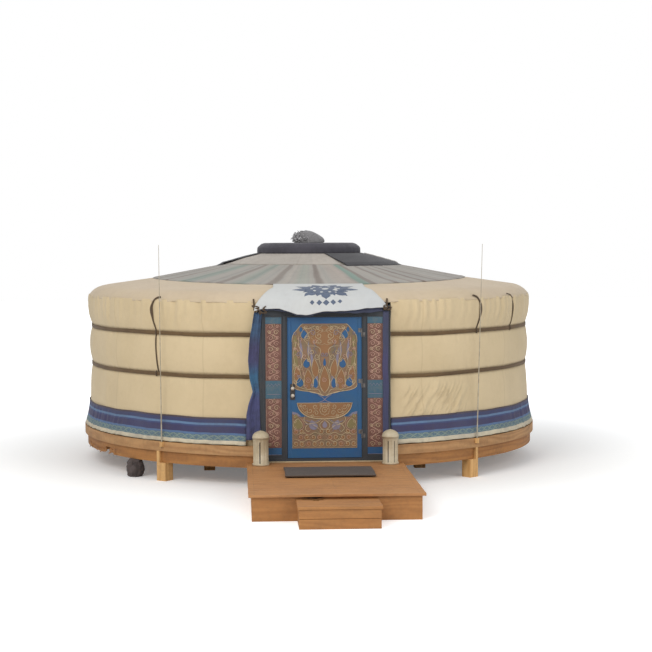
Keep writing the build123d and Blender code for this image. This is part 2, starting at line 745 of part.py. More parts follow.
with BuildPart() as door_knobs:
    knob_middle = knob_reach - knob_radius  # from the face that the knob stands on
    with BuildSketch(frame_plane.offset(rest_gap)):
        with Locations((knob_x, knob_z)):
            RectangleRounded(knob_plate_width, knob_plate_height, knob_plate_width / 4)
    extrude(amount=knob_plate_thickness)
    with BuildSketch(frame_plane.offset(knob_plate_thickness)):
        with Locations((knob_x, knob_z)):
            Circle(spindle_radius)
    extrude(amount=-knob_plate_thickness - leaf_thickness - knob_middle)
    with BuildSketch(frame_plane.offset(knob_plate_thickness)):
        with Locations((knob_x, knob_z - knob_spread), (knob_x, knob_z + knob_spread)):
            Circle(spindle_radius)
    extrude(amount=knob_middle - knob_plate_thickness)
    with Locations(
        (door_offset + knob_x, -frame_front - knob_middle, knob_z - knob_spread),
        (door_offset + knob_x, -frame_front - knob_middle, knob_z + knob_spread),
        (door_offset + knob_x, -frame_front + leaf_thickness + knob_middle, knob_z),
    ):
        Sphere(knob_radius)
save(door_knobs, "door_knobs")

# ---------------------------------------------------------------- hinges
knuckle_gap = rest_gap
with BuildPart() as frame_hinges:
    for height in hinge_heights:
        low = leaf_foot + height
        with BuildSketch(Plane.XY.offset(low)):
            with Locations((hinge_x, hinge_y)):
                Circle(hinge_radius)
            with Locations((door_offset + mullion_inner + 1 + hinge_plate_width / 2, -frame_front - hinge_plate / 2)):
                Rectangle(hinge_plate_width, hinge_plate)
        extrude(amount=hinge_knuckle)
        with BuildSketch(Plane.XY.offset(low)):
            with Locations((hinge_x, hinge_y)):
                Circle(hinge_pin_radius)
        extrude(amount=2 * hinge_knuckle + knuckle_gap)
save(frame_hinges, "frame_hinges")

with BuildPart() as leaf_hinges:
    for height in hinge_heights:
        low = leaf_foot + height + hinge_knuckle + knuckle_gap
        with BuildSketch(Plane.XY.offset(low)):
            with Locations((hinge_x, hinge_y)):
                Circle(hinge_radius)
            with Locations((door_offset + leaf_half_width - 1 - hinge_plate_width / 2, -frame_front - hinge_plate / 2)):
                Rectangle(hinge_plate_width, hinge_plate)
            with Locations((hinge_x, hinge_y)):
                Circle(hinge_pin_radius + pin_clearance, mode=Mode.SUBTRACT)
        extrude(amount=hinge_knuckle)
save(leaf_hinges, "leaf_hinges")

# ---------------------------------------------------------------- canopy, borders and straps
with BuildPart() as door_canopy:
    half_sweep = 2 * opening_bearing
    inner = roof_cover_half_length + 4
    low = shoulder_z + rest_gap
    lift = edge_gap
    thick = edge_gap + canopy_thickness
    foot = wall_radius + canopy_reach
    with BuildSketch(bearing_plane(-half_sweep)):
        with BuildLine():
            Line((inner, eave_z(inner) + lift), (eave_bend_radius, eave_bend_z + lift))
            ThreePointArc(
                (eave_bend_radius, eave_bend_z + lift),
                (bend_middle[0] + lift, bend_middle[1] + lift),
                (wall_radius + lift + 2, low),
            )
            Polyline(
                (wall_radius + lift + 2, low),
                (foot - canopy_thickness, canopy_foot_z),
                (foot, canopy_foot_z),
                (wall_radius + thick + 4, low),
            )
            ThreePointArc(
                (wall_radius + thick + 4, low),
                (bend_middle[0] + 0.8 * thick, bend_middle[1] + 0.8 * thick),
                (eave_bend_radius, eave_bend_z + thick),
            )
            Polyline(
                (eave_bend_radius, eave_bend_z + thick),
                (inner, eave_z(inner) + thick),
                (inner, eave_z(inner) + lift),
            )
        make_face()
    revolve(axis=Axis.Z, revolution_arc=2 * half_sweep)
    # seen from above it widens from the roof cover's edge to the wall
    with BuildSketch(Plane.XY):
        with BuildLine():
            Polyline(
                (-canopy_top_half, -inner),
                (canopy_top_half, -inner),
                (canopy_foot_half, -frame_front),
                (canopy_foot_half, -2 * wall_radius),
                (-canopy_foot_half, -2 * wall_radius),
                (-canopy_foot_half, -frame_front),
                close=True,
            )
        make_face()
        Ellipse(roof_cover_half_width + 2, roof_cover_half_length + 2, mode=Mode.SUBTRACT)
    extrude(amount=2 * shoulder_z, mode=Mode.INTERSECT)
save(door_canopy, "door_canopy")

with BuildPart() as door_borders:
    border_top = canopy_foot_z - 2 * rest_gap
    with BuildSketch(frame_plane.offset(edge_gap)):
        for inner, outer in (left_border, right_border):
            with Locations(((inner + outer) / 2, (border_foot_z + border_top) / 2)):
                Rectangle(outer - inner, border_top - border_foot_z)
    extrude(amount=border_thickness)
save(door_borders, "door_borders")

upper_range = (band_upper_z + band_height / 2 + rest_gap, shoulder_z - strap_top_drop)
lower_range = (band_lower_z + band_height / 2 + rest_gap, band_upper_z - band_height / 2 - rest_gap)
with BuildPart() as wall_straps:
    runs = [(bearing, upper_range) for bearing in strap_bearings]
    runs += [(bearing, lower_range) for bearing in long_strap_bearings]
    for bearing, (low, high) in runs:
        with BuildSketch(bearing_plane(bearing)):
            with BuildLine():
                canvas_outline(edge_gap + strap_thickness)
            make_face()
            with BuildLine():
                canvas_outline(edge_gap)
            make_face(mode=Mode.SUBTRACT)
            with Locations((wall_radius, (low + high) / 2)):
                Rectangle(wall_felt_inner, high - low, mode=Mode.INTERSECT)
        extrude(amount=strap_width / 2, both=True)
save(wall_straps, "wall_straps")

# ---------------------------------------------------------------- side poles
side_pole_radius = rim_outer + side_pole_stand_off
socket_foot_z = hem_z - socket_height
with BuildPart() as side_poles:
    for bearing, lean in zip(side_pole_bearings, side_pole_leans):
        foot = at_bearing(bearing, side_pole_radius, socket_foot_z).origin
        a = radians(bearing - 90)
        rise = side_pole_tip_z - socket_foot_z
        side = rise * tan(radians(lean))
        tip = foot + Vector(-side * sin(a), side * cos(a), rise)
        along = Plane(origin=foot, z_dir=tip - foot)
        with BuildSketch(along):
            Circle(side_pole_foot_radius)
        with BuildSketch(along.offset((tip - foot).length)):
            Circle(side_pole_tip_radius)
        loft()
save(side_poles, "side_poles")

with BuildPart() as pole_sockets:
    depth = side_pole_stand_off + side_pole_foot_radius + socket_clearance + socket_wall
    for bearing in side_pole_bearings:
        with BuildSketch(at_bearing(bearing, rim_outer + rest_gap + depth / 2, socket_foot_z - socket_wall)):
            Rectangle(depth, socket_width)
    extrude(amount=socket_height + socket_wall)
    for bearing in side_pole_bearings:
        with BuildSketch(at_bearing(bearing, side_pole_radius, socket_foot_z - 2 * rest_gap)):
            Circle(side_pole_foot_radius + socket_clearance)
    extrude(amount=2 * socket_height, mode=Mode.SUBTRACT)
save(pole_sockets, "pole_sockets")

# ---------------------------------------------------------------- porch and step
with BuildPart() as porch_boards:
    with BuildSketch(Plane.XY.offset(board_bottom)):
        with Locations((door_offset, (porch_front_y + porch_back_y) / 2)):
            Rectangle(2 * porch_half_width, porch_back_y - porch_front_y)
    extrude(amount=board_thickness)
save(porch_boards, "porch_boards")

panel_front = porch_front_y + (porch_half_width - porch_panel_half_width)
panel_top = board_bottom - rest_gap
with BuildPart() as porch_panels:
    with BuildSketch(Plane.XY):
        with Locations((door_offset, (panel_front + porch_back_y) / 2)):
            Rectangle(2 * porch_panel_half_width, porch_back_y - panel_front)
        with Locations((door_offset, (panel_front + porch_back_y) / 2 + porch_board)):
            inner_width = 2 * (porch_panel_half_width - porch_board)
            Rectangle(inner_width, porch_back_y - panel_front, mode=Mode.SUBTRACT)
    extrude(amount=panel_top)
save(porch_panels, "porch_panels")

with BuildPart() as porch_frame:
    inner_half = porch_panel_half_width - porch_board - rest_gap
    run = porch_back_y - panel_front - porch_board - 2 * rest_gap
    with BuildSketch(Plane.XY.offset(panel_top - bearer_depth)):
        with Locations((door_offset, panel_front + porch_board + rest_gap + run / 2)):
            with GridLocations(inner_half - bearer_width / 2, 0, 3, 1):
                Rectangle(bearer_width, run)
    extrude(amount=bearer_depth)
    with BuildSketch(Plane.XY):
        with Locations((door_offset, panel_front + porch_board + rest_gap + run / 2)):
            with GridLocations(inner_half - bearer_width / 2, run - bearer_width, 3, 2):
                Rectangle(bearer_width, bearer_width)
    extrude(amount=panel_top - bearer_depth)
save(porch_frame, "porch_frame")

step_back = panel_front - rest_gap
step_front = porch_front_y - step_depth
with BuildPart() as step:
    with BuildSketch(Plane.XY):
        with Locations((door_offset, (step_back + step_front) / 2)):
            Rectangle(2 * (step_half_width - porch_board / 2), step_back - step_front)
            inner_width = 2 * (step_half_width - 1.5 * porch_board)
            Rectangle(inner_width, step_back - step_front - 2 * porch_board, mode=Mode.SUBTRACT)
    extrude(amount=step_height - porch_board - rest_gap)
save(step, "step_box")

with BuildPart() as step_tread:
    with BuildSketch(Plane.XY.offset(step_height - porch_board)):
        with Locations((door_offset, (step_back + step_front) / 2 - porch_board / 4)):
            Rectangle(2 * step_half_width, step_back - step_front + porch_board / 2)
        # a splinter has broken out of its back edge on the left
        with Locations((door_offset - splinter_place, step_back)):
            Ellipse(splinter_half_length, splinter_half_width, mode=Mode.SUBTRACT)
    extrude(amount=porch_board)
save(step_tread, "step_tread")

with BuildPart() as doormat:
    with BuildSketch(Plane.XY.offset(floor_height + rest_gap)):
        with Locations((door_offset, -frame_front - mat_from_door - mat_depth / 2)):
            Rectangle(mat_width, mat_depth)
    extrude(amount=mat_thickness)
save(doormat, "doormat")

bollard_body_height = bollard_height - bollard_cap_height
with BuildPart() as bollards:
    with BuildSketch(Plane.XY.offset(floor_height + rest_gap)):
        with Locations((door_offset - bollard_x, bollard_y), (door_offset + bollard_x, bollard_y)):
            Circle(bollard_radius)
    extrude(amount=bollard_body_height - rest_gap)
save(bollards, "bollards")

with BuildPart() as bollard_caps:
    with BuildSketch(Plane.XY.offset(floor_height + bollard_body_height + rest_gap)):
        with Locations((door_offset - bollard_x, bollard_y), (door_offset + bollard_x, bollard_y)):
            Circle(bollard_cap_radius)
    extrude(amount=bollard_cap_height - rest_gap)
    fillet(bollard_caps.faces().sort_by(Axis.Z)[-2:].edges(), radius=0.6 * bollard_cap_height)
save(bollard_caps, "bollard_caps")
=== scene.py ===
"""Looks of a felt and canvas yurt on its timber platform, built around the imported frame.

Metres, +Z up, with the origin on the ground on the round wall's axis. The door faces -Y. A bearing
is an angle about the axis in degrees, from the door (0) towards +X (90).
"""

import sys  # noqa: E702
import logging  # noqa: E402
import math  # noqa: E402
from collections.abc import Callable, Iterable, Sequence  # noqa: E402
from dataclasses import dataclass, field  # noqa: E402
from enum import Enum  # noqa: E402

import bpy  # noqa: E402
import numpy as np  # noqa: E402
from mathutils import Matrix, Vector  # noqa: E402


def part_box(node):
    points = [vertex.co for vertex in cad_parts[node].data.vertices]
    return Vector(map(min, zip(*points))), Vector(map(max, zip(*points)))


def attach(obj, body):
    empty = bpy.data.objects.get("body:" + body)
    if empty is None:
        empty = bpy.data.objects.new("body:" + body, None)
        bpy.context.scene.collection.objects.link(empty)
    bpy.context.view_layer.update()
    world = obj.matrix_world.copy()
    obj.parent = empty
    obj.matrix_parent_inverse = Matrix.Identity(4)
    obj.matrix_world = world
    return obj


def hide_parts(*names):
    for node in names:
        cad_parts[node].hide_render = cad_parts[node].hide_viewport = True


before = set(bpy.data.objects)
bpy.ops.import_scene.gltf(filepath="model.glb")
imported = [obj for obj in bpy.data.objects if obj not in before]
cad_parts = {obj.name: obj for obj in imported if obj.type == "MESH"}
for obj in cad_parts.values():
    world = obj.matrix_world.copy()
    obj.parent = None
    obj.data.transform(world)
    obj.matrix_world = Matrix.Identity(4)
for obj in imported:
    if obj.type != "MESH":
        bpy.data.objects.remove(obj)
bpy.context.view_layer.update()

LOG = logging.getLogger("yurt")

Colour = tuple[float, float, float, float]
Piece = bpy.types.Object
Socket = bpy.types.NodeSocket
Array = np.ndarray
Numbers = np.ndarray | float

BUILDING = "yurt"
LEAF = "door"
DOOR_X = 0.052  # the door stands this far to the right of the axis
UV_MAP = "cut"  # metres along and across each length of cloth or timber
TIMBER_SHIFT = 7.0  # each board reads the grain this far from the next in its UV map


# ---------------------------------------------------------------- numbers and points
def around(bearing: Numbers, radius: Numbers, z: Numbers) -> Array:
    """Gives the points at bearings, radii and heights about the axis.

    Args:
        bearing: Degrees from the door towards +X.
        radius: Metres from the axis.
        z: Metres above the ground.

    Returns:
        An array whose last axis is x, y, z.
    """
    angle = np.radians(bearing)
    return stacked(radius * np.sin(angle), -radius * np.cos(angle), z)


def stacked(*coordinates: Numbers) -> Array:
    """Coordinates put together as the last axis of one array."""
    return np.stack(np.broadcast_arrays(*coordinates), -1)


def outward(bearing: Numbers) -> Array:
    """The direction away from the axis at a bearing."""
    return around(bearing, 1.0, 0.0)


def hoop(x: float, y: float, z: float, reach: Numbers, angle: Array) -> Array:
    """Points round an upright line at x and y."""
    return stacked(x + reach * np.cos(angle), y + reach * np.sin(angle), z)


def bowed(x: Numbers, radius: Numbers, z: Numbers) -> Array:
    """Points in front of the axis at a radius from it."""
    return stacked(x, -np.sqrt(radius**2 - x**2), z)


def ringed(line: Array) -> Array:
    """A line with its first point again at its end."""
    return np.concatenate([line, line[:1]])


def smooth(value: Numbers, low: float, high: float) -> Array:
    """Rises smoothly from 0 at low to 1 at high."""
    share = np.clip((np.asarray(value, float) - low) / (high - low), 0, 1)
    return share * share * (3 - 2 * share)


def hump(value: Numbers, middle: float, width: float) -> Array:
    """Is 1 at middle and falls away over width."""
    return np.exp(-(((np.asarray(value, float) - middle) / width) ** 2))


def waves(values: Array, seed: int, pitches: Sequence[float]) -> Array:
    """Adds sine waves of several pitches with seeded phases.

    Args:
        values: Where to sample, in the pitches' unit.
        seed: Of the phases.
        pitches: The waves' lengths.

    Returns:
        Values from about -1 to 1.
    """
    draw = np.random.RandomState(seed)
    total = sum(np.sin(2 * np.pi * values / pitch + draw.uniform(0, 2 * np.pi)) for pitch in pitches)
    return total / len(pitches)


def even(count: int) -> Array:
    """Even steps from 0 to 1."""
    return np.linspace(0, 1, count)


def turns(count: int) -> Array:
    """The angles of a full turn in even steps."""
    return np.linspace(0, 2 * np.pi, count, endpoint=False)


def rows(first: float, last: float, pitch: float) -> Array:
    """Even steps from first to last, near a pitch."""
    return np.linspace(first, last, max(2, int(round(abs(last - first) / pitch)) + 1))


def chained(*stops: float) -> Array:
    """Even steps through several stops, given as stop, pitch, stop, pitch, stop and so on."""
    runs = [rows(stops[at], stops[at + 2], stops[at + 1]) for at in range(0, len(stops) - 2, 2)]
    return np.concatenate([runs[0], *(run[1:] for run in runs[1:])])


def bent(share: Array, start: float, pull: float, end: float) -> Array:
    """A bend from start to end, drawn towards pull."""
    return (1 - share) ** 2 * start + 2 * share * (1 - share) * pull + share**2 * end


def grid(first: Array, second: Array) -> tuple[Array, Array]:
    """Two runs of numbers spread over a grid, the first down it and the second across."""
    return np.meshgrid(first, second, indexing="ij")


def listed(text: str) -> list[list[float]]:
    """Reads groups of numbers, with commas in a group and spaces between groups."""
    return [[float(number) for number in group.split(",")] for group in text.split()]


def spots(text: str) -> Array:
    """Groups of millimetres, read as metres."""
    return np.array(listed(text)) / 1000


def read(value: Numbers, table: str) -> Array:
    """Looks values up in a table of places and values in millimetres."""
    return np.interp(value, *spots(table).T)


# ---------------------------------------------------------------- meshes
def link(data: bpy.types.ID, name: str) -> Piece:
    """Puts a mesh, a lamp or a camera in the scene.

    Args:
        data: The mesh, lamp or camera.
        name: Of its object.

    Returns:
        The new object.
    """
    made = bpy.data.objects.new(name, data)
    bpy.context.scene.collection.objects.link(made)
    return made


def mesh_object(
    name: str, vertices: Array, faces: Sequence[Sequence[int]],
    corners: Array | None = None, flat: Array | None = None,
) -> Piece:
    """Makes a smooth mesh object.

    Args:
        name: Of the object.
        vertices: Points, n by 3.
        faces: Vertex numbers of each face.
        corners: The UV place of each face corner, in face order.
        flat: True for each face that is shaded flat.

    Returns:
        The object, linked to the scene.
    """
    mesh = bpy.data.meshes.new(name)
    mesh.from_pydata([tuple(v) for v in vertices], [], faces)
    if corners is not None:
        layer = mesh.uv_layers.new(name=UV_MAP)
        layer.uv.foreach_set("vector", np.ascontiguousarray(corners, np.float32).ravel())
    mesh.polygons.foreach_set("use_smooth", np.ones(len(faces), bool) if flat is None else ~flat)
    mesh.update()
    return link(mesh, name)


def lengths_along(points: Array) -> Array:
    """Distance travelled at each point of a line."""
    return np.concatenate([[0.0], np.cumsum(np.linalg.norm(np.diff(points, axis=0), axis=1))])


def cells(values: Array, start: int = 0, turned: bool = False) -> Array:
    """The four corners of each cell of a grid.

    Args:
        values: What the grid holds at each place, a number or a point.
        start: How far the first corner is moved round.
        turned: Whether the corners go the other way round.

    Returns:
        An array of cells by four corners.
    """
    corners = np.stack([values[:-1, :-1], values[1:, :-1], values[1:, 1:], values[:-1, 1:]], 2)
    corners = np.roll(corners.reshape(-1, 4, *values.shape[2:]), start, axis=1)
    return corners[:, ::-1] if turned else corners


@dataclass
class Cloth:
    """A length of cloth on a grid of points, with a back and rims a thickness behind its face."""

    name: str
    points: Array  # across, along, xyz
    thickness: float
    ring: bool = False  # joined to itself across
    centre: tuple[float, float, float] = (0.0, 0.0, 1.0)  # the face looks away from here

    def closed(self, rows_across: Array) -> Array:
        """A grid of the cloth's rows, with the first again at the end where the cloth is a ring."""
        return ringed(rows_across) if self.ring else rows_across

    def size(self) -> tuple[float, float]:
        """The cloth's greatest width and length in metres."""
        net = self.closed(self.points)
        return tuple(float(np.linalg.norm(np.diff(net, axis=way), axis=2).sum(way).max()) for way in (0, 1))

    def normals(self) -> tuple[Array, bool]:
        """The directions square to the face, away from the centre, and whether they had to be turned.

        Returns:
            A direction for each point, and True where they were turned.
        """
        net = self.points
        if self.ring:
            steps = np.gradient(np.concatenate([net[-1:], net, net[:1]]), axis=0)[1:-1]
        else:
            steps = np.gradient(net, axis=0)
        normal = np.cross(steps, np.gradient(net, axis=1))
        normal /= np.maximum(np.linalg.norm(normal, axis=2, keepdims=True), 1e-12)
        turned = bool((normal * (net - np.array(self.centre))).sum(2).mean() < 0)
        return -normal if turned else normal, turned

    def build(self) -> Piece:
        """Makes the closed mesh, with its UV map in metres.

        Returns:
            The new object.
        """
        across, along = self.points.shape[:2]
        count = across * along
        normal, turned = self.normals()
        back = self.points - normal * self.thickness
        face = self.closed(np.arange(count).reshape(across, along))
        u, v = lengths_along(self.closed(self.points[:, along // 2])), lengths_along(self.points[across // 2])
        place = stacked(u[:, None], v)
        sides = [(face, place, 0, turned), (face + count, place, 0, not turned)]
        rims = [(np.s_[:, 0], turned), (np.s_[:, -1], not turned)]
        if not self.ring:
            rims += [(np.s_[0], not turned), (np.s_[-1], turned)]
        for line, way in rims:
            sides.append((np.stack([face[line], face[line] + count]), np.stack([place[line]] * 2), 1, way))
        faces = np.concatenate([cells(numbers, start, way) for numbers, _, start, way in sides])
        corners = np.concatenate([cells(places, start, way) for _, places, start, way in sides])
        flat = np.arange(len(faces)) >= 2 * (len(face) - 1) * (along - 1)
        vertices = np.concatenate([self.points.reshape(-1, 3), back.reshape(-1, 3)])
        return mesh_object(self.name, vertices, faces.tolist(), corners.reshape(-1, 2), flat)


def loft(name: str, rings: Array, flat: bool = False, offset: tuple[float, float] = (0.0, 0.0)) -> Piece:
    """Joins rings of points into a skin, with a face over each end.

    Args:
        name: Of the object.
        rings: Points, ring by ring, n by m by 3.
        flat: Whether the faces are shaded flat.
        offset: Where its UV map starts, in metres.

    Returns:
        The new object.
    """
    count, size = rings.shape[:2]
    numbers = np.arange(count * size).reshape(count, size)
    numbers = np.hstack([numbers, numbers[:, :1]])
    u, v = lengths_along(rings.mean(1)) + offset[0], lengths_along(ringed(rings[0])) + offset[1]
    place = stacked(u[:, None], v)
    faces = cells(numbers).tolist() + [numbers[0, -2::-1].tolist(), numbers[-1, :-1].tolist()]
    corners = np.concatenate([cells(place).reshape(-1, 2), place[0, -2::-1], place[-1, :-1]])
    shade = np.arange(len(faces)) >= (0 if flat else len(faces) - 2)
    return mesh_object(name, rings.reshape(-1, 3), faces, corners, shade)


def joined(name: str, parts: Iterable[Piece]) -> Piece:
    """Joins several mesh objects into one.

    Args:
        name: Of the joined object.
        parts: The objects, which are used up.

    Returns:
        The joined object.
    """

    def taken(items: bpy.types.bpy_prop_collection, key: str, width: int, kind: type) -> Array:
        """Reads a property of every item at once.

        Args:
            items: Of a mesh.
            key: The property.
            width: How many numbers it holds.
            kind: Of number.

        Returns:
            An array of items by width.
        """
        values = np.zeros(len(items) * width, kind)
        items.foreach_get(key, values)
        return values.reshape(-1, width)

    vertices, faces, corners, flat, base = [], [], [], [], 0
    for part in parts:
        mesh = part.data
        vertices.append(taken(mesh.vertices, "co", 3, np.float32))
        faces += [tuple(base + v for v in polygon.vertices) for polygon in mesh.polygons]
        corners.append(taken(mesh.uv_layers[0].uv, "vector", 2, np.float32))
        flat.append(~taken(mesh.polygons, "use_smooth", 1, bool)[:, 0])
        base += len(mesh.vertices)
        bpy.data.objects.remove(part)
        bpy.data.meshes.remove(mesh)
    return mesh_object(name, np.concatenate(vertices), faces, np.concatenate(corners), np.concatenate(flat))


def frames_along(path: Array, up: Array) -> tuple[Array, Array]:
    """Two directions square to a path at each of its points.

    Args:
        path: Points, n by 3.
        up: A direction that the second stays near, or one for each point.

    Returns:
        The side and the upright directions, n by 3 each.
    """
    tangent = np.gradient(path, axis=0)
    tangent /= np.linalg.norm(tangent, axis=1, keepdims=True)
    side = np.cross(tangent, np.broadcast_to(up, path.shape))
    weak = np.linalg.norm(side, axis=1) < 1e-6
    side[weak] = np.cross(tangent[weak], np.array([0.31, 0.95, 0.0]))
    side /= np.linalg.norm(side, axis=1, keepdims=True)
    return side, np.cross(side, tangent)


def tube(name: str, path: Array, radius: Numbers, sides: int = 8) -> Piece:
    """A round rod along a path.

    Args:
        name: Of the object.
        path: Its middle line, n by 3.
        radius: One, or one for each point.
        sides: How many sides its round has.

    Returns:
        The new object.
    """
    side, upright = frames_along(path, np.array([0.0, 0.0, 1.0]))
    angle = turns(sides)[None, :, None]
    radius = np.broadcast_to(radius, (len(path),))[:, None, None]
    out = np.cos(angle) * side[:, None] + np.sin(angle) * upright[:, None]
    return loft(name, path[:, None] + radius * out)


def strap(
    name: str, path: Array, face: Array, width: Numbers, thickness: float,
    offset: tuple[float, float] = (0.0, 0.0),
) -> Piece:
    """A flat strap along a path.

    Args:
        name: Of the object.
        path: Its middle line, n by 3.
        face: The direction that it faces, one or one for each point.
        width: Across, one or one for each point.
        thickness: Through.
        offset: Where its UV map starts, in metres.

    Returns:
        The new object.
    """
    side, upright = frames_along(path, face)
    half = np.broadcast_to(np.asarray(width) / 2, (len(path),))[:, None]
    section = listed("-1,-0.7 -1,0.6 -0.9,1 0.9,1 1,0.6 1,-0.7 0.9,-1 -0.9,-1")
    ring = [path + a * half * side + b * thickness / 2 * upright for a, b in section]
    return loft(name, np.stack(ring[::-1], 1), offset=offset)


def plank(
    name: str, low: Sequence[float], high: Sequence[float], grain: int, seed: int, bevel: float = 0.003,
    outline: Callable[[float], tuple[float, float]] | None = None,
) -> Piece:
    """A sawn board with eased edges, whose UV map runs along its grain from a place of its own.

    Args:
        name: Of the object.
        low: Its lowest corner.
        high: Its highest corner.
        grain: The axis that it runs along, 0 to 2.
        seed: Of its place in the timber.
        bevel: How much its long edges are eased.
        outline: Where given, its ends at a place across it.

    Returns:
        The new object.
    """
    low, high = np.array(low, float), np.array(high, float)
    first, second = [axis for axis in range(3) if axis != grain]
    a, b = high[first] - low[first], high[second] - low[second]
    e = min(bevel, a / 3, b / 3)
    section = [(e, 0), (a - e, 0), (a, e), (a, b - e), (a - e, b), (e, b), (0, b - e), (0, e)]
    stations = even(5)
    rings = np.zeros((len(stations), len(section), 3))
    for number, (p, q) in enumerate(reversed(section) if grain == 1 else section):
        start, end = (low[grain], high[grain]) if outline is None else outline(low[first] + p)
        rings[:, number, grain] = start + (end - start) * stations
        rings[:, number, first] = low[first] + p
        rings[:, number, second] = low[second] + q
    draw = np.random.RandomState(seed)
    return loft(name, rings, flat=True, offset=(draw.uniform(0, 40), TIMBER_SHIFT * draw.randint(1, 60)))


# ---------------------------------------------------------------- shader graphs
class Graph:
    """A node tree under construction, with short ways to add nodes and join them."""

    def __init__(self, tree: bpy.types.NodeTree) -> None:
        """Starts on a tree."""
        self.tree = tree

    def add(self, kind: str, **settings: object) -> bpy.types.Node:
        """Adds a node and sets its properties.

        Args:
            kind: Of node.
            settings: Its properties by name.

        Returns:
            The new node.
        """
        node = self.tree.nodes.new(kind)
        for key, value in settings.items():
            setattr(node, key, value)
        return node

    def wire(self, value: object, socket: Socket) -> None:
        """Links a socket to another, or sets its own value.

        Args:
            value: A socket, or a value to set.
            socket: What takes it.
        """
        if isinstance(value, Socket):
            self.tree.links.new(value, socket)
        else:
            socket.default_value = value

    def fed(self, node: bpy.types.Node, *values: object) -> bpy.types.Node:
        """Gives a node's inputs their values in order.

        Args:
            node: That takes them.
            values: Sockets or values, in the order of the inputs.

        Returns:
            The same node.
        """
        for value, socket in zip(values, node.inputs):
            self.wire(value, socket)
        return node

    def maths(self, operation: str, a: object, b: object = 0.0, c: object = 0.0) -> Socket:
        """A Math node's result."""
        return self.fed(self.add("ShaderNodeMath", operation=operation), a, b, c).outputs[0]

    def times(self, a: object, b: object) -> Socket:
        """A product."""
        return self.maths("MULTIPLY", a, b)

    def plus(self, a: object, b: object) -> Socket:
        """A sum."""
        return self.maths("ADD", a, b)

    def apart(self, a: object, b: object) -> Socket:
        """How far two numbers lie apart."""
        return self.maths("ABSOLUTE", self.maths("SUBTRACT", a, b))

    def scaled(self, vector: Socket, by: Sequence[float]) -> Socket:
        """A vector times another."""
        return self.fed(self.add("ShaderNodeVectorMath", operation="MULTIPLY"), vector, by).outputs[0]

    def mix(self, share: object, a: object, b: object) -> Socket:
        """Two colours mixed.

        Args:
            share: Of the second colour.
            a: The first colour.
            b: The second colour.

        Returns:
            The mixed colour.
        """
        node = self.add("ShaderNodeMix", data_type="RGBA")
        for value, place in ((share, 0), (a, 6), (b, 7)):
            self.wire(value, node.inputs[place])
        return node.outputs[2]

    def noise(self, vector: Socket, scale: object, detail: float = 3.0, roughness: float = 0.55) -> Socket:
        """A noise texture's value.

        Args:
            vector: Where it is read.
            scale: Of its pattern.
            detail: How many octaves it has.
            roughness: How strong the fine octaves are.

        Returns:
            Its value, about 0 to 1.
        """
        node = self.add("ShaderNodeTexNoise")
        values = {"Vector": vector, "Scale": scale, "Detail": detail, "Roughness": roughness}
        for label, value in values.items():
            self.wire(value, node.inputs[label])
        return node.outputs[0]

    def span(self, value: object, low: object, high: object, start: float = 0.0, end: float = 1.0) -> Socket:
        """A value taken from one range to another, smoothly and held at its ends."""
        node = self.add("ShaderNodeMapRange", interpolation_type="SMOOTHSTEP")
        return self.fed(node, value, low, high, start, end).outputs[0]

    def parts(self, vector: Socket) -> tuple[Socket, ...]:
        """A vector's three numbers."""
        return tuple(self.fed(self.add("ShaderNodeSeparateXYZ"), vector).outputs)

    def vector(self, x: object, y: object, z: object = 0.0) -> Socket:
        """A vector of three numbers."""
        return self.fed(self.add("ShaderNodeCombineXYZ"), x, y, z).outputs[0]

    def own(self, number: Socket) -> Socket:
        """A random share that belongs to a number.

        Args:
            number: A whole number.

        Returns:
            The share, 0 to 1.
        """
        node = self.add("ShaderNodeTexWhiteNoise", noise_dimensions="1D")
        self.wire(number, node.inputs["W"])
        return node.outputs[0]

    def use(self, group: bpy.types.NodeTree, **inputs: object) -> bpy.types.Node:
        """Places a shared group, with its inputs by name.

        Args:
            group: To place.
            inputs: Sockets or values, by the small name of each input.

        Returns:
            The group's node.
        """
        node = self.add("ShaderNodeGroup", node_tree=group)
        for key, value in inputs.items():
            self.wire(value, node.inputs[key.capitalize()])
        return node

    def object_place(self) -> Socket:
        """The place on the piece, in metres in its body's frame."""
        return self.add("ShaderNodeTexCoord").outputs["Object"]

    def cut_place(self) -> Socket:
        """The place on the cloth or timber as it was cut, in metres."""
        return self.add("ShaderNodeUVMap", uv_map=UV_MAP).outputs[0]

    def bearing(self) -> Socket:
        """The place's bearing, in radians."""
        x, y, _ = self.parts(self.object_place())
        return self.maths("ARCTAN2", x, self.times(y, -1.0))

    def away(self) -> Socket:
        """The place's distance from the axis."""
        x, y, _ = self.parts(self.object_place())
        return self.maths("SQRT", self.plus(self.times(x, x), self.times(y, y)))

    def ring_place(self, radius: float) -> Socket:
        """The place about the axis: along the ring at a radius, up, and outwards."""
        return self.vector(self.times(self.bearing(), radius), self.parts(self.object_place())[2], self.away())


class Kind(Enum):
    """The socket kinds that a shared group has."""

    NUMBER = "NodeSocketFloat"
    VECTOR = "NodeSocketVector"
    COLOUR = "NodeSocketColor"


def new_group(name: str, inputs: dict[str, Kind], outputs: dict[str, Kind]) -> tuple[Graph, Sequence, Sequence]:
    """Starts a shared group with named sockets.

    Args:
        name: Of the group.
        inputs: Names and kinds.
        outputs: Names and kinds.

    Returns:
        A graph on its tree, what comes in, and the sockets that take what goes out.
    """
    tree = bpy.data.node_groups.new(name, "ShaderNodeTree")
    for side, sockets in (("INPUT", inputs), ("OUTPUT", outputs)):
        for label, kind in sockets.items():
            tree.interface.new_socket(label, in_out=side, socket_type=kind.value)
    graph = Graph(tree)
    return graph, graph.add("NodeGroupInput").outputs, graph.add("NodeGroupOutput").inputs


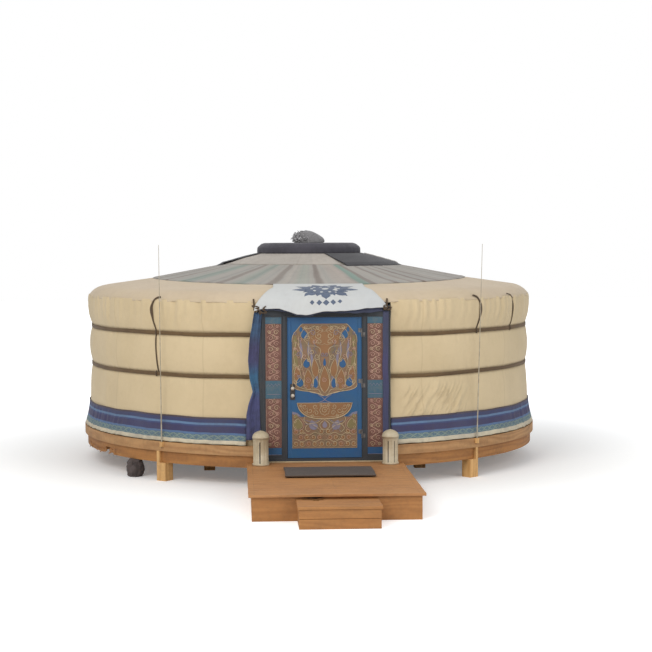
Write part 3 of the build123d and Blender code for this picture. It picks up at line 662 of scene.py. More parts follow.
def weave_group() -> bpy.types.NodeTree:
    """A plain weave with slubs: its height, and a mask of its thicker threads.

    Returns:
        The group's tree.
    """
    g, given, out = new_group(
        "weave",
        {"Place": Kind.VECTOR, "Threads": Kind.NUMBER},
        {"Height": Kind.NUMBER, "Slubs": Kind.NUMBER},
    )
    place, threads = given["Place"], given["Threads"]
    u, v, _ = g.parts(place)
    around_turn = g.times(threads, 2 * math.pi)
    warp, weft = (g.maths("SINE", g.times(way, around_turn)) for way in (u, v))
    along, across = (g.noise(g.scaled(place, by), threads, 2.0) for by in ((0.05, 1.0, 1.0), (1.0, 0.05, 1.0)))
    slubs = g.maths("MAXIMUM", along, across)
    g.wire(g.maths("MULTIPLY_ADD", g.times(warp, weft), 0.25, slubs), out["Height"])
    g.wire(g.span(slubs, 0.5, 0.75), out["Slubs"])
    return g.tree


def grain_group() -> bpy.types.NodeTree:
    """Sawn timber along the first number of its place: its colour, in a tone for each board, and height.

    Returns:
        The group's tree.
    """
    g, given, out = new_group(
        "grain",
        {"Place": Kind.VECTOR, "Light": Kind.COLOUR, "Dark": Kind.COLOUR, "Contrast": Kind.NUMBER},
        {"Colour": Kind.COLOUR, "Height": Kind.NUMBER},
    )
    place = given["Place"]
    _, v, w = g.parts(place)
    wander = g.noise(g.scaled(place, (0.5, 2.2, 2.2)), 1.0, 2.0)
    rings = g.maths("SINE", g.maths("MULTIPLY_ADD", wander, 46.0, g.times(g.plus(v, w), 70.0)))
    fibres = g.noise(g.scaled(place, (2.0, 95.0, 95.0)), 1.0, 4.0, 0.6)
    streaks = g.noise(g.scaled(place, (0.55, 9.0, 9.0)), 1.0, 3.0)
    lines = g.maths("MULTIPLY_ADD", fibres, 0.5, g.times(streaks, 0.5))
    figure = g.maths("MULTIPLY_ADD", rings, 0.16, lines)
    board = g.own(g.maths("FLOOR", g.maths("DIVIDE", v, TIMBER_SHIFT)))
    depth = g.times(g.span(figure, 0.25, 0.85), g.maths("MULTIPLY_ADD", board, 0.5, 0.75))
    g.wire(g.mix(g.times(depth, given["Contrast"]), given["Light"], given["Dark"]), out["Colour"])
    g.wire(figure, out["Height"])
    return g.tree


def soil_group() -> bpy.types.NodeTree:
    """Patches of dirt over a colour, with a mask of where they lie.

    Returns:
        The group's tree.
    """
    kinds = {"Place": Kind.VECTOR, "Colour": Kind.COLOUR, "Dirt": Kind.COLOUR, "Scale": Kind.NUMBER}
    g, given, out = new_group(
        "soil", kinds | {"Amount": Kind.NUMBER}, {"Colour": Kind.COLOUR, "Mask": Kind.NUMBER}
    )
    place, scale = given["Place"], given["Scale"]
    broad = g.noise(place, scale, 4.0, 0.6)
    fine = g.noise(g.scaled(place, (9.0, 9.0, 9.0)), scale, 3.0)
    patch = g.span(g.maths("MULTIPLY_ADD", fine, 0.35, g.times(broad, 0.65)), 0.4, 0.66)
    mask = g.times(patch, given["Amount"])
    g.wire(g.mix(mask, given["Colour"], given["Dirt"]), out["Colour"])
    g.wire(mask, out["Mask"])
    return g.tree


@dataclass(frozen=True)
class Effects:
    """The shared groups that the finishes place."""

    weave: bpy.types.NodeTree = field(default_factory=weave_group)
    grain: bpy.types.NodeTree = field(default_factory=grain_group)
    soil: bpy.types.NodeTree = field(default_factory=soil_group)


EFFECTS = Effects()


# ---------------------------------------------------------------- finishes
def tone(code: str) -> Colour:
    """Gives the linear colour of a display colour.

    Args:
        code: Its red, green and blue, two hexadecimal digits each.

    Returns:
        Four linear numbers.
    """
    shares = [int(code[start : start + 2], 16) / 255 for start in (0, 2, 4)]
    linear = [share / 12.92 if share <= 0.04045 else ((share + 0.055) / 1.055) ** 2.4 for share in shares]
    return (*linear, 1.0)


@dataclass(frozen=True)
class Finish:
    """The start of every finish: a surface with its colours, roughness and dirt."""

    name: str
    codes: str  # its colour and shade, and its dirt where that isn't the plain one, as tone takes them
    roughness: float = 0.8
    sheen: float = 0.0
    metallic: float = 0.0
    soiled: float = 0.3
    slot: str = ""  # the slot that it goes with, where it has none of its own
    plain_dirt: Colour = (0.1, 0.08, 0.06, 1.0)

    def colours(self) -> tuple[Colour, Colour, Colour]:
        """The colour, its shade and its dirt."""
        colour, shade, *dirt = map(tone, self.codes.split())
        return colour, shade, (dirt or [self.plain_dirt])[0]

    def build(self) -> bpy.types.Material:
        """Makes the material, sets its plain values and gives it its pattern.

        Returns:
            The new material.
        """
        material = bpy.data.materials.new(self.name)
        material.use_nodes = True
        surface = material.node_tree.nodes["Principled BSDF"]
        values = {"Roughness": self.roughness, "Sheen Weight": self.sheen, "Metallic": self.metallic}
        for label, value in values.items():
            surface.inputs[label].default_value = value
        self.work(Graph(material.node_tree), surface)
        return material

    def work(self, g: Graph, surface: bpy.types.Node) -> None:
        """Gives the surface its pattern, dirt and relief."""
        raise NotImplementedError

    def dirty(self, g: Graph, surface: bpy.types.Node, colour: Socket, scale: float) -> Socket:
        """Lays dirt over a colour.

        Args:
            g: The material's graph.
            surface: The surface that is coloured.
            colour: The clean colour.
            scale: Of the dirt's patches.

        Returns:
            A mask of where the dirt lies.
        """
        place, dirt = g.object_place(), self.colours()[2]
        soil = g.use(EFFECTS.soil, place=place, colour=colour, dirt=dirt, scale=scale, amount=self.soiled)
        g.wire(soil.outputs["Colour"], surface.inputs["Base Color"])
        return soil.outputs["Mask"]

    def bump(
        self, g: Graph, surface: bpy.types.Node, height: Socket, distance: float, strength: float = 0.6
    ) -> None:
        """Feeds a height to the surface's normal.

        Args:
            g: The material's graph.
            surface: Its surface shader.
            height: The relief.
            distance: Its depth in metres.
            strength: Of its effect.
        """
        node = g.add("ShaderNodeBump")
        for label, value in (("Strength", strength), ("Distance", distance), ("Height", height)):
            g.wire(value, node.inputs[label])
        g.wire(node.outputs[0], surface.inputs["Normal"])


@dataclass(frozen=True)
class ClothFinish(Finish):
    """Woven cloth with mottling, seams across it and dirt."""

    threads: float = 260.0
    seam_pitch: float = 0.0
    seam_shift: float = 0.0
    seam_depth: float = 0.3
    bands: tuple[float, ...] = ()  # heights beside which the cloth is darkened towards its dirt colour, as painted shade where each band pulls the cloth in
    band_shade_reach: float = 0.06

    def tinted(self, g: Graph, place: Socket) -> Socket:
        """The cloth's colour before dirt."""
        colour, shade, _ = self.colours()
        return g.mix(g.times(g.span(g.noise(place, 0.9, 3.0), 0.36, 0.66), 0.6), colour, shade)

    def work(self, g: Graph, surface: bpy.types.Node) -> None:
        """Weaves the cloth, with its seams and painted shade beside its bands.

        Args:
            g: The material's graph.
            surface: Its surface shader.
        """
        _, shade, dirt = self.colours()
        place = g.cut_place()
        weave = g.use(EFFECTS.weave, place=place, threads=self.threads)
        colour = g.mix(g.times(weave.outputs["Slubs"], 0.18), self.tinted(g, place), shade)
        if self.seam_pitch:
            shifted = g.plus(g.parts(place)[0], self.seam_shift)
            turn = g.maths("FRACT", g.maths("DIVIDE", shifted, self.seam_pitch))
            seam = g.span(g.times(g.apart(turn, 0.5), self.seam_pitch), 0.004, 0.014, 1.0, 0.0)
            colour = g.mix(g.times(seam, self.seam_depth), colour, dirt)
        # painted shade: near each band's height the colour is mixed towards the dirt colour, for the shade
        # where the band pulls the canvas in
        for level in self.bands:
            off = g.apart(g.parts(g.object_place())[2], level)
            colour = g.mix(g.span(off, 0.01, self.band_shade_reach, 0.75, 0.0), colour, dirt)
        self.dirty(g, surface, colour, 1.7)
        crease = g.noise(g.scaled(place, (3.0, 1.2, 1.0)), 2.0, 3.0)
        self.bump(g, surface, g.maths("MULTIPLY_ADD", crease, 5.0, weave.outputs["Height"]), 0.001)


@dataclass(frozen=True)
class StripedFinish(ClothFinish):
    """Cloth with woven stripes across its length and a worked border between two of them."""

    stripes: str = ""  # where each ends along the cloth, in millimetres, and its colour
    worked: tuple[float, float] = (0.0, 0.0)
    thread: str = "809084"
    blend: float = 0.003  # how softly one stripe turns to the next

    def tinted(self, g: Graph, place: Socket) -> Socket:
        """The stripes, with a stepped lozenge border.

        Args:
            g: The material's graph.
            place: On the cloth as it was cut.

        Returns:
            The colour.
        """
        u, v, _ = g.parts(place)
        wander = g.maths("SUBTRACT", g.noise(g.scaled(place, (2.0, 2.0, 1.0)), 1.0), 0.5)
        across = g.plus(v, g.times(wander, 0.012))
        words = self.stripes.split()
        edges, tones = [float(word) / 1000 for word in words[::2]], [tone(word) for word in words[1::2]]
        colour: object = tones[0]
        for edge, following in zip(edges, tones[1:]):
            colour = g.mix(g.span(across, edge - self.blend, edge + self.blend), colour, following)
        low, high = self.worked
        if high > low:
            inside = g.times(g.span(across, low, low + 0.004), g.span(across, high - 0.004, high, 1.0, 0.0))
            zig = g.times(g.maths("PINGPONG", u, (high - low) * 0.9), 0.5)
            rise = g.maths("PINGPONG", g.maths("SUBTRACT", across, low), (high - low) / 2)
            line = g.times(inside, g.span(g.apart(zig, rise), 0.004, 0.009, 1.0, 0.0))
            fleck = g.span(g.noise(g.scaled(place, (60.0, 60.0, 1.0)), 1.0, 2.0), 0.5, 0.6)
            threads = g.maths("MAXIMUM", line, g.times(g.times(inside, fleck), 0.7))
            colour = g.mix(threads, colour, tone(self.thread))
        fade = g.span(g.noise(g.scaled(place, (1.3, 0.6, 1.0)), 1.0, 4.0), 0.35, 0.75)
        return g.mix(g.times(fade, 0.3), colour, self.colours()[1])


@dataclass(frozen=True)
class GoreFinish(ClothFinish):
    """Roof cloth in gores, with dark seams and stains that run down from the crown."""

    gores: int = 30
    phase: float = 0.4  # bearing of one seam
    stains: str = ""  # bearing and half width in degrees, strength and colour of each

    def tinted(self, g: Graph, place: Socket) -> Socket:
        """The gores with their seams and stains.

        Args:
            g: The material's graph.
            place: On the cloth as it was cut.

        Returns:
            The colour.
        """
        plain, shade, dirt = self.colours()
        turn = g.maths("DEGREES", g.bearing())
        angle = g.plus(turn, g.maths("MULTIPLY_ADD", g.noise(g.object_place(), 1.3, 3.0), 2.4, -1.2))
        pitch = 360 / self.gores
        number = g.maths("DIVIDE", g.maths("SUBTRACT", angle, self.phase), pitch)
        seam = g.span(g.times(g.apart(g.maths("FRACT", g.plus(number, 60.5)), 0.5), pitch), 0.3, 1.7, 1.0, 0.0)
        patchy = g.span(g.noise(g.scaled(g.object_place(), (0.9, 0.9, 0.9)), 1.0, 2.0), 0.35, 0.7, 0.5, 1.0)
        strength = g.times(g.span(g.own(g.maths("ROUND", number)), 0.0, 0.8, 0.2, 1.0), patchy)
        broad = g.span(g.noise(g.vector(g.times(turn, 0.07), 0.0), 3.0, 4.0, 0.7), 0.35, 0.65)
        colour = g.mix(g.times(broad, 0.75), plain, shade)
        colour = g.mix(g.times(seam, strength), colour, dirt)
        for stain in self.stains.split(", "):
            *numbers, code = stain.split()
            bearing, half, amount = map(float, numbers)
            colour = g.mix(g.span(g.apart(angle, bearing), half * 0.3, half, amount, 0.0), colour, tone(code))
        return colour


@dataclass(frozen=True)
class TimberFinish(Finish):
    """Sawn or planed timber."""

    contrast: float = 0.9
    soiled: float = 0.25
    plain_dirt: Colour = (0.05, 0.035, 0.025, 1.0)
    ring: float = 0.0  # where above 0, the grain follows the ring of this radius
    turn: tuple[int, int, int] = (0, 1, 2)  # the axes that run along, across and through the grain
    planks: bool = False  # whether the place comes from each plank's own map

    def place(self, g: Graph) -> Socket:
        """Where the grain is read, with its length first.

        Args:
            g: The material's graph.

        Returns:
            The place, in metres.
        """
        if self.planks:
            return g.cut_place()
        numbers = g.parts(g.ring_place(self.ring) if self.ring else g.object_place())
        return g.vector(*(numbers[axis] for axis in self.turn))

    def work(self, g: Graph, surface: bpy.types.Node) -> None:
        """Lays the grain.

        Args:
            g: The material's graph.
            surface: Its surface shader.
        """
        light, dark, _ = self.colours()
        grain = g.use(EFFECTS.grain, place=self.place(g), light=light, dark=dark, contrast=self.contrast)
        mask = self.dirty(g, surface, grain.outputs["Colour"], 2.6)
        g.wire(g.maths("MULTIPLY_ADD", mask, 0.2, self.roughness - 0.05), surface.inputs["Roughness"])
        self.bump(g, surface, grain.outputs["Height"], 0.0015)


@dataclass(frozen=True)
class PaintFinish(Finish):
    """Brushed paint over timber, rubbed through in places to what its dirt colour shows."""

    def work(self, g: Graph, surface: bpy.types.Node) -> None:
        """Brushes the paint on and rubs it.

        Args:
            g: The material's graph.
            surface: Its surface shader.
        """
        colour, shade, _ = self.colours()
        place = g.object_place()
        brush = g.noise(g.scaled(place, (40.0, 40.0, 2.5)), 1.0, 4.0, 0.6)
        colour = g.mix(g.span(g.noise(place, 2.3, 3.0), 0.35, 0.7, 0.0, 0.55), colour, shade)
        colour = g.mix(g.span(brush, 0.45, 0.75, 0.0, 0.25), colour, shade)
        mask = self.dirty(g, surface, colour, 9.0)
        g.wire(g.maths("MULTIPLY_ADD", mask, 0.3, self.roughness), surface.inputs["Roughness"])
        self.bump(g, surface, g.maths("SUBTRACT", brush, mask), 0.0006)


@dataclass(frozen=True)
class CoatFinish(Finish):
    """Enamel, bare metal or stone: a mottled solid with a fine tooth."""

    scale: float = 14.0
    depth: float = 0.0004

    def work(self, g: Graph, surface: bpy.types.Node) -> None:
        """Mottles the coat.

        Args:
            g: The material's graph.
            surface: Its surface shader.
        """
        colour, shade, _ = self.colours()
        place = g.object_place()
        mottle = g.noise(place, self.scale, 4.0, 0.6)
        self.dirty(g, surface, g.mix(g.span(mottle, 0.38, 0.68), colour, shade), self.scale / 2)
        g.wire(g.maths("MULTIPLY_ADD", mottle, 0.2, self.roughness - 0.1), surface.inputs["Roughness"])
        self.bump(g, surface, g.noise(place, self.scale * 9, 3.0), self.depth, 1.0)


FINISHES: dict[str, Finish] = {
    finish.name: finish
    for finish in (
        # the wall canvas is darkened beside its bands as painted shade
        ClothFinish(
            "wall_canvas", "d4bf99 cbb68f 78603e", 0.85, 0.15, soiled=0.07, seam_pitch=1.62, seam_shift=0.35,
            seam_depth=0.12, bands=(1.4, 1.939),
        ),
        ClothFinish("eave_canvas", "ccb99e cbb796 967e62", 0.85, 0.15, soiled=0.12),
        GoreFinish(
            "roof_canvas", "a8a096 92928c 685a52", 0.88, 0.1, soiled=0.15,
            stains="14.4 2.6 .65 588678, 17 1.6 .6 68584e, 8.6 4.4 .35 b8a496, .6 1.8 .5 68584e, "
            "-13.8 2.2 .55 68584e, -10.6 2.2 .45 bab0a4, -5 3.5 .3 96a494, -24 4 .3 588678, "
            "-31 2.2 .5 68584e, -47 6 .35 588678, 31 1.8 .4 68584e, 44 2 .4 68584e, "
            "131 3 .4 588678, 211 3.5 .4 588678",
        ),
        ClothFinish("collar_canvas", "b8afa4 a6a098 82766a", 0.88, 0.1, seam_pitch=0.7, seam_depth=0.15),
        ClothFinish("crown_cloth", "3e3c44 4a464e 2c2a2e", 0.8, 0.1, threads=420.0, soiled=0.4),
        # a darker copy of crown_cloth: painted shade on the folded flap, which faces up into the light
        ClothFinish(
            "shaded_flap_cloth", "29282d 323034 201f22", 0.8, 0.1, threads=420.0, soiled=0.4, slot="crown_cloth",
        ),
        ClothFinish("knot_cloth", "929090 787678 5c5a5c", 0.85, 0.1, soiled=0.4),
        # a lighter copy of knot_cloth: painted light on the knot's loose tails, which stand in their own shade
        ClothFinish("lit_frill_cloth", "cecccc a8a6a8 605e62", 0.85, 0.1, soiled=0.4, slot="knot_cloth"),
        ClothFinish("felt", "b0a696 968c7c 786c5a", 0.95, 0.3, threads=60.0, slot="wall_canvas"),
        ClothFinish("binding", "c4c0ba aaa6a0 787068", 0.85, 0.1, slot="crown_cloth"),
        ClothFinish("band_webbing", "685030 543e24 38281a", 0.8, 0.1, threads=700.0, soiled=0.4),
        ClothFinish("strap_webbing", "54422e 423222 2c2018", 0.8, 0.05, threads=700.0, soiled=0.4),
        ClothFinish("canopy_cloth", "cacbc8 bec1c3 aaa49c", 0.75, 0.1, soiled=0.2, threads=500.0),
        ClothFinish("emblem_cloth", "606c80 4a5468 3c4250", 0.8, 0.1, threads=500.0, slot="canopy_cloth"),
        StripedFinish(
            "skirt_cloth", "404668 545c76 484244", 0.8, 0.05, soiled=0.3, threads=420.0,
            stripes="22 46383e 70 34385c 98 607c9e 118 38426c 196 363256 220 547096 292 546e7c 900 d4c8ac",
            worked=(0.222, 0.290), thread="809084",
        ),
        StripedFinish(
            "border_cloth", "3a5486 3e345c 242436", 0.75, 0.2, soiled=0.7, threads=420.0,
            stripes="350 365878 720 3e3e64 1020 2e6080 9000 404670", blend=0.12,
        ),
        StripedFinish(
            "right_border_cloth", "323662 423e64 282840", 0.75, 0.2, soiled=0.25, threads=420.0,
            stripes="500 383c54 900 403e60 9000 3a3e5c", blend=0.1, slot="border_cloth",
        ),
        # a dark blue lining whose colour also paints the shade under the canopy
        ClothFinish(
            "lining_and_shade_cloth", "3c4256 2c2e4a 28262c", 0.8, 0.15, soiled=0.4, threads=420.0, slot="border_cloth",
        ),
        StripedFinish(
            "mat_fibre", "524239 5c4a3c 362c26", 0.95, 0.05, soiled=0.5, threads=90.0,
            stripes="50 4a382a 690 463c36 9000 4a382a",
        ),
        TimberFinish("deck_pine", "deb072 bc8a50", 0.7, turn=(2, 0, 1)),
        TimberFinish("rim_pine", "b88c5c 92643a", 0.7, ring=3.2, soiled=0.25, contrast=0.6),
        TimberFinish(
            "lower_rim_pine", "ac763e 805026", 0.7, ring=3.2, soiled=0.25, contrast=0.6, slot="rim_pine",
        ),
        TimberFinish("floor_pine", "b68e62 92643c", 0.55, planks=True),
        TimberFinish("porch_pine", "b68250 a06a3c", 0.6, planks=True, soiled=0.2, contrast=0.6),
        TimberFinish("panel_pine", "b07a44 966232", 0.65, soiled=0.2, contrast=0.7, slot="porch_pine"),
        TimberFinish("lath_willow", "b26638 8c4624", 0.6, planks=True),
        PaintFinish("pole_paint", "c0582a a04220 783c22", 0.5),
        PaintFinish("frame_paint", "2b3035 232a32 463c35", 0.5, soiled=0.2),
        PaintFinish("rail_paint", "345a6c 3a5468 6a6c68", 0.45, soiled=0.45),
        PaintFinish("leaf_paint", "1e5080 1e567a 46545e", 0.42, soiled=0.18),
        PaintFinish("panel_paint", "86684e 7e5842 686650", 0.55, soiled=0.6),
        PaintFinish("side_panel_paint", "704c40 7e544a 4e342e", 0.6, soiled=0.5),
        PaintFinish("gold_paint", "c0ac8a ac9670 948264", 0.5, slot="panel_paint"),
        PaintFinish("rose_paint", "be9a86 ac806e 8c685a", 0.55, soiled=0.4, slot="side_panel_paint"),
        PaintFinish("amber_paint", "8c643e 825a38 74563a", 0.5, soiled=0.4, slot="panel_paint"),
        PaintFinish("olive_paint", "7e7048 706844 6e5e40", 0.55, slot="panel_paint"),
        PaintFinish("lilac_paint", "827a88 6c6e86 78645a", 0.55, slot="panel_paint"),
        CoatFinish("knob_enamel", "cec4b6 baae9e 827464", 0.35, depth=0.0001),
        CoatFinish("plate_iron", "3e3c3c 4a4644 282422", 0.5, metallic=0.6, slot="knob_enamel"),
        CoatFinish("hinge_steel", "787674 605c5a 46382e", 0.4, metallic=0.9, scale=30.0),
        CoatFinish("bollard_enamel", "c4b69a b8a88a 806e52", 0.45, soiled=0.2, scale=5.0),
        CoatFinish("slit_shadow", "302c28 3a342e", 0.7, slot="bollard_enamel"),
        CoatFinish("pier_stone", "564c4a 403836 302a28", 0.9, scale=9.0, depth=0.004),
        CoatFinish("side_pole_wood", "b2a894 a0947e", 0.6),
        CoatFinish("screw_steel", "6e6254 564a3e", 0.5, metallic=0.7, slot="hinge_steel"),
    )
}
MATERIALS: dict[str, bpy.types.Material] = {}


def material_of(finish: str) -> bpy.types.Material:
    """The material of a finish, made when it is first asked for.

    Args:
        finish: A name in FINISHES.

    Returns:
        The material, one for each finish.
    """
    if finish not in MATERIALS:
        MATERIALS[finish] = FINISHES[finish].build()
    return MATERIALS[finish]


def dress(piece: Piece, finish: str, *replaces: str, body: str = BUILDING) -> Piece:
    """Gives a piece its finish and its body, and hides the nodes that it stands for.

    Args:
        piece: The new piece, in place.
        finish: A name in FINISHES.
        *replaces: The nodes that it stands for.
        body: The body that it rides on.

    Returns:
        The same piece.
    """
    piece.data.materials.append(material_of(finish))
    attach(piece, body)
    if replaces:
        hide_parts(*replaces)
    LOG.info("piece %s: %s on %s", piece.name, finish, body)
    return piece


def gather(name: str, parts: Sequence[Piece], finish: str, *replaces: str, body: str = BUILDING) -> None:
    """Joins parts into one piece and dresses it."""
    dress(joined(name, parts), finish, *replaces, body=body)


def dress_nodes(**finishes: str) -> None:
    """Gives kept nodes their finishes."""
    for node, finish in finishes.items():
        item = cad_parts[node]
        if not item.material_slots:
            item.data.materials.append(material_of(finish))
        for place in item.material_slots:
            place.material = material_of(finish)
        LOG.info("node %s: %s", node, finish)


def lay_cloth(
    cloth: Cloth, finish: str, held: str, rests_on: Sequence[str], *replaces: str, fullness: float = 1.02
) -> None:
    """Builds a cloth, dresses it and works out the size of its flat cut.

    Args:
        cloth: The cloth.
        finish: A name in FINISHES.
        rests_on: The nodes or pieces that it lies on. Not used.
        *replaces: The nodes that it stands for.
        fullness: Cut area over the area that shows.
    """
    piece = dress(cloth.build(), finish, *replaces)
    width, length = (side * math.sqrt(fullness) for side in cloth.size())


# ---------------------------------------------------------------- wall
class Side(Enum):
    """The three stretches that the round wall is sewn in: their bearings, with the steps between them."""

    RIGHT = (16.35, 0.27, 62.0, 0.55, 126.0)
    BACK = (126.0, 0.55, 236.0)
    LEFT = (236.0, 0.55, 296.0, 0.3, 345.6)

    def word(self) -> str:
        """Its name in a piece's name."""
        return self.name.lower()


@dataclass
class Wall:
    """The canvas, felt, bands, skirt, straps and lattice of the round wall."""

    radius: float = 3.2
    foot_z: float = 0.307
    hem_z: float = 0.52
    hem_radius: float = 3.178
    shoulder_z: float = 2.383
    groove: float = 3.162
    bands: tuple[float, float] = (1.4, 1.939)
    band_half: float = 0.025
    felt_radius: float = 3.136
    canvas_thickness: float = 0.005
    skirt_z: tuple[float, float] = (0.872, 0.527)
    skirt_radius: tuple[float, float, float] = (3.2155, 3.276, 3.284)  # at its top, at its hem, at most
    lattice_radii: tuple[float, float] = (3.106, 3.092)
    lattice_z: tuple[float, float] = (0.312, 2.325)
    lath_pitch: float = 5.2
    lath_lean: float = 46.0  # degrees of bearing from the foot of a lath to its top
    straps: tuple[float, ...] = (42, 58, 100, 132, 164, 196, 228, 262, 318)
    long_straps: tuple[float, ...] = (318,)
    faint_straps: tuple[float, ...] = (58,)

    def profile(self, z: Array) -> Array:
        """Radius of the canvas at each height, before its folds.

        Args:
            z: Heights above the ground.

        Returns:
            A radius for each.
        """
        low, high = self.bands
        half = self.band_half
        radius = np.where(z < self.hem_z, self.hem_radius, self.groove)
        for start, end, first, last, middle in (
            (self.hem_z, low - half, self.hem_radius, self.groove, 3.2),
            (low + half, high - half, self.groove, self.groove, 3.198),
            (high + half, self.shoulder_z, self.groove, self.radius, 3.214),
        ):
            share = np.clip((z - start) / (end - start), 0, 1)
            rise = np.sqrt(np.clip(4 * share * (1 - share), 0, 1)) * 0.5 + 2 * share * (1 - share)
            bulged = first + (last - first) * share + rise * (middle - (first + last) / 2)
            radius = np.where((z >= start) & (z <= end), bulged, radius)
        return radius

    def folds(self, bearing: Array, z: Array) -> Array:
        """How far the canvas stands out in folds at each place.

        Args:
            bearing: Degrees from the door.
            z: Heights above the ground.

        Returns:
            Metres, outwards.
        """
        run = np.radians(bearing) * self.radius
        signed = np.where(bearing > 180, bearing - 360, bearing)
        slack = np.clip(np.minimum.reduce([np.abs(z - level) for level in self.bands]) / 0.16, 0, 1) ** 0.8
        slack = slack * smooth(z, self.foot_z, 0.9)
        out = 0.006 * waves(run, 3, (2.3, 1.1, 0.61)) * slack
        for number, level in enumerate(self.bands):
            near = np.exp(-np.abs(z - level) / 0.07) * np.clip(np.abs(z - level) / 0.03, 0, 1)
            out += 0.009 * waves(run + 0.15 * z, 11 + number, (0.19, 0.083, 0.137)) * near
        # gathers that hang from the eave
        patches = (0.35 + 0.65 * smooth(waves(run, 17, (3.1, 1.7)), -0.5, 0.6)) * slack
        fall = 0.5 + 0.5 * smooth(z, 1.95, 2.35)
        gathers = waves(run + 0.05 * waves(z, 5, (0.9,)), 7, (0.33, 0.19, 0.127))
        out += 0.02 * gathers * patches * fall * smooth(z, 1.94, 2.1)
        # slanting creases to the right of the door, and the cloth pulled tight over them
        here = smooth(signed, 18, 21.5) * smooth(-signed, -41, -33)
        here = here * smooth(z, 0.84, 0.93) * smooth(-z, -1.35, -1.16)
        slant = run * 0.8 - z * 0.6
        ridge = (1 - np.abs(waves(slant + 0.01 * waves(z, 6, (0.31,)), 21, (0.31, 0.18)))) ** 5
        ridge += 0.6 * (1 - np.abs(waves(slant + 0.02 * run, 22, (0.23,)))) ** 5
        out += here * 0.046 * ridge * (0.65 + 0.35 * waves(run + z, 4, (0.9, 0.5)))
        pulled = smooth(signed, 17.5, 20) * smooth(-signed, -37, -30) * smooth(z, 2.0, 2.25)
        out += pulled * 0.022 * (0.7 - np.abs(waves(run + 0.08 * z, 9, (0.35, 0.23))))
        # upright ridges at the seams, and long folds further round
        edge = hump(signed, -57, 3.5) + hump(signed, -63, 2.5) + 0.7 * hump(signed, 54, 4)
        out += 0.012 * edge * slack
        far = smooth(np.abs(signed), 62, 75)
        out += far * 0.008 * waves(run * 0.94 - z * 0.33, 31, (0.45, 0.27, 0.71)) * slack
        return out

    def surface(self, bearing: Array, z: Array) -> Array:
        """Radius of the canvas with its folds."""
        return self.profile(z) + self.folds(bearing, z)

    def canvas(self) -> None:
        """Lays the three stretches of canvas."""
        low, high = self.bands
        half, pitch = self.band_half, 0.018
        z = chained(
            self.foot_z, 0.1, self.hem_z, pitch, low - half, pitch, low + half,
            pitch, high - half, pitch, high + half, pitch, self.shoulder_z,
        )
        for side, numbers in ((Side.RIGHT, (1, 2, 3)), (Side.BACK, (4, 5)), (Side.LEFT, (6, 7, 8))):
            bearing, height = grid(chained(*side.value), z)
            points = around(bearing, self.surface(bearing, height), height)
            cloth = Cloth(f"wall_canvas_{side.word()}", points, self.canvas_thickness)
            covers = [f"wall_cover_{number}" for number in numbers]
            lay_cloth(cloth, "wall_canvas", "hung", ["lower_band", "upper_band", "door_frame"], *covers)

    def felt(self) -> None:
        """Hangs the felt inside the canvas."""
        bearing, z = grid(rows(16.6, 345.3, 2.4), rows(0.309, 2.38, 0.26))
        radius = self.felt_radius + 0.003 * waves(np.radians(bearing) * self.radius, 8, (0.9, 0.37))
        cloth = Cloth("wall_felt", around(bearing, radius, z), 0.014)
        lay_cloth(cloth, "felt", "hung", ["lattice_right", "lattice_back", "lattice_left"])

    def skirt(self) -> None:
        """Hangs the striped skirt round the wall's foot."""
        top, hem = self.skirt_z
        first, last, most = self.skirt_radius
        stretches = (Side.RIGHT, 16.3, 126.0), (Side.BACK, 126.0, 236.0), (Side.LEFT, 236.0, 342.9)
        for side, start, end in stretches:
            bearing, down = grid(rows(start, end, 0.5), even(19))
            run = np.radians(bearing) * self.radius
            z = top + (hem - top) * down
            z += down * 0.005 * (1 + waves(run, 41, (0.9, 0.37, 0.21)))
            z -= (1 - down) * 0.006 * waves(run, 44, (2.2, 0.8))
            radius = first + (last - first) * down**1.6 + 0.002 * waves(run, 43, (0.7, 0.23))
            radius += 0.006 * down**1.2 * waves(run, 42, (0.33, 0.19, 0.121))
            loose = smooth(bearing, 52, 62) * smooth(-bearing, -82, -72)
            loose += smooth(bearing, 282, 290) * smooth(-bearing, -312, -302)
            radius += 0.011 * loose * smooth(down, 0.0, 0.3) * waves(run + 0.02 * down, 45, (0.17, 0.11))
            radius = np.minimum(np.maximum(radius, self.surface(bearing, z) + 0.008), most)
            cloth = Cloth(f"skirt_{side.word()}", around(bearing, radius, z), 0.004)
            lay_cloth(cloth, "skirt_cloth", "hung", [f"wall_canvas_{side.word()}"], "skirt")

    def webbing(self) -> None:
        """Draws the two bands round the wall."""
        bearing = rows(16.4, 345.55, 1.0)
        run = np.radians(bearing) * self.radius
        for name, level, seed in (("lower_band", self.bands[0], 51), ("upper_band", self.bands[1], 52)):
            height = level + 0.0045 * waves(run, seed, (4.1, 1.7, 0.9))
            height -= 0.013 * hump(bearing, 30, 8) + 0.008 * hump(bearing, 330, 8)
            path = around(bearing, 3.1715 + 0.002 * waves(run, seed + 5, (0.8, 0.31)), height)
            width = 0.045 + 0.003 * waves(run, seed + 9, (1.3, 0.4))
            dress(strap(f"{name}_webbing", path, outward(bearing), width, 0.011), "band_webbing", name)

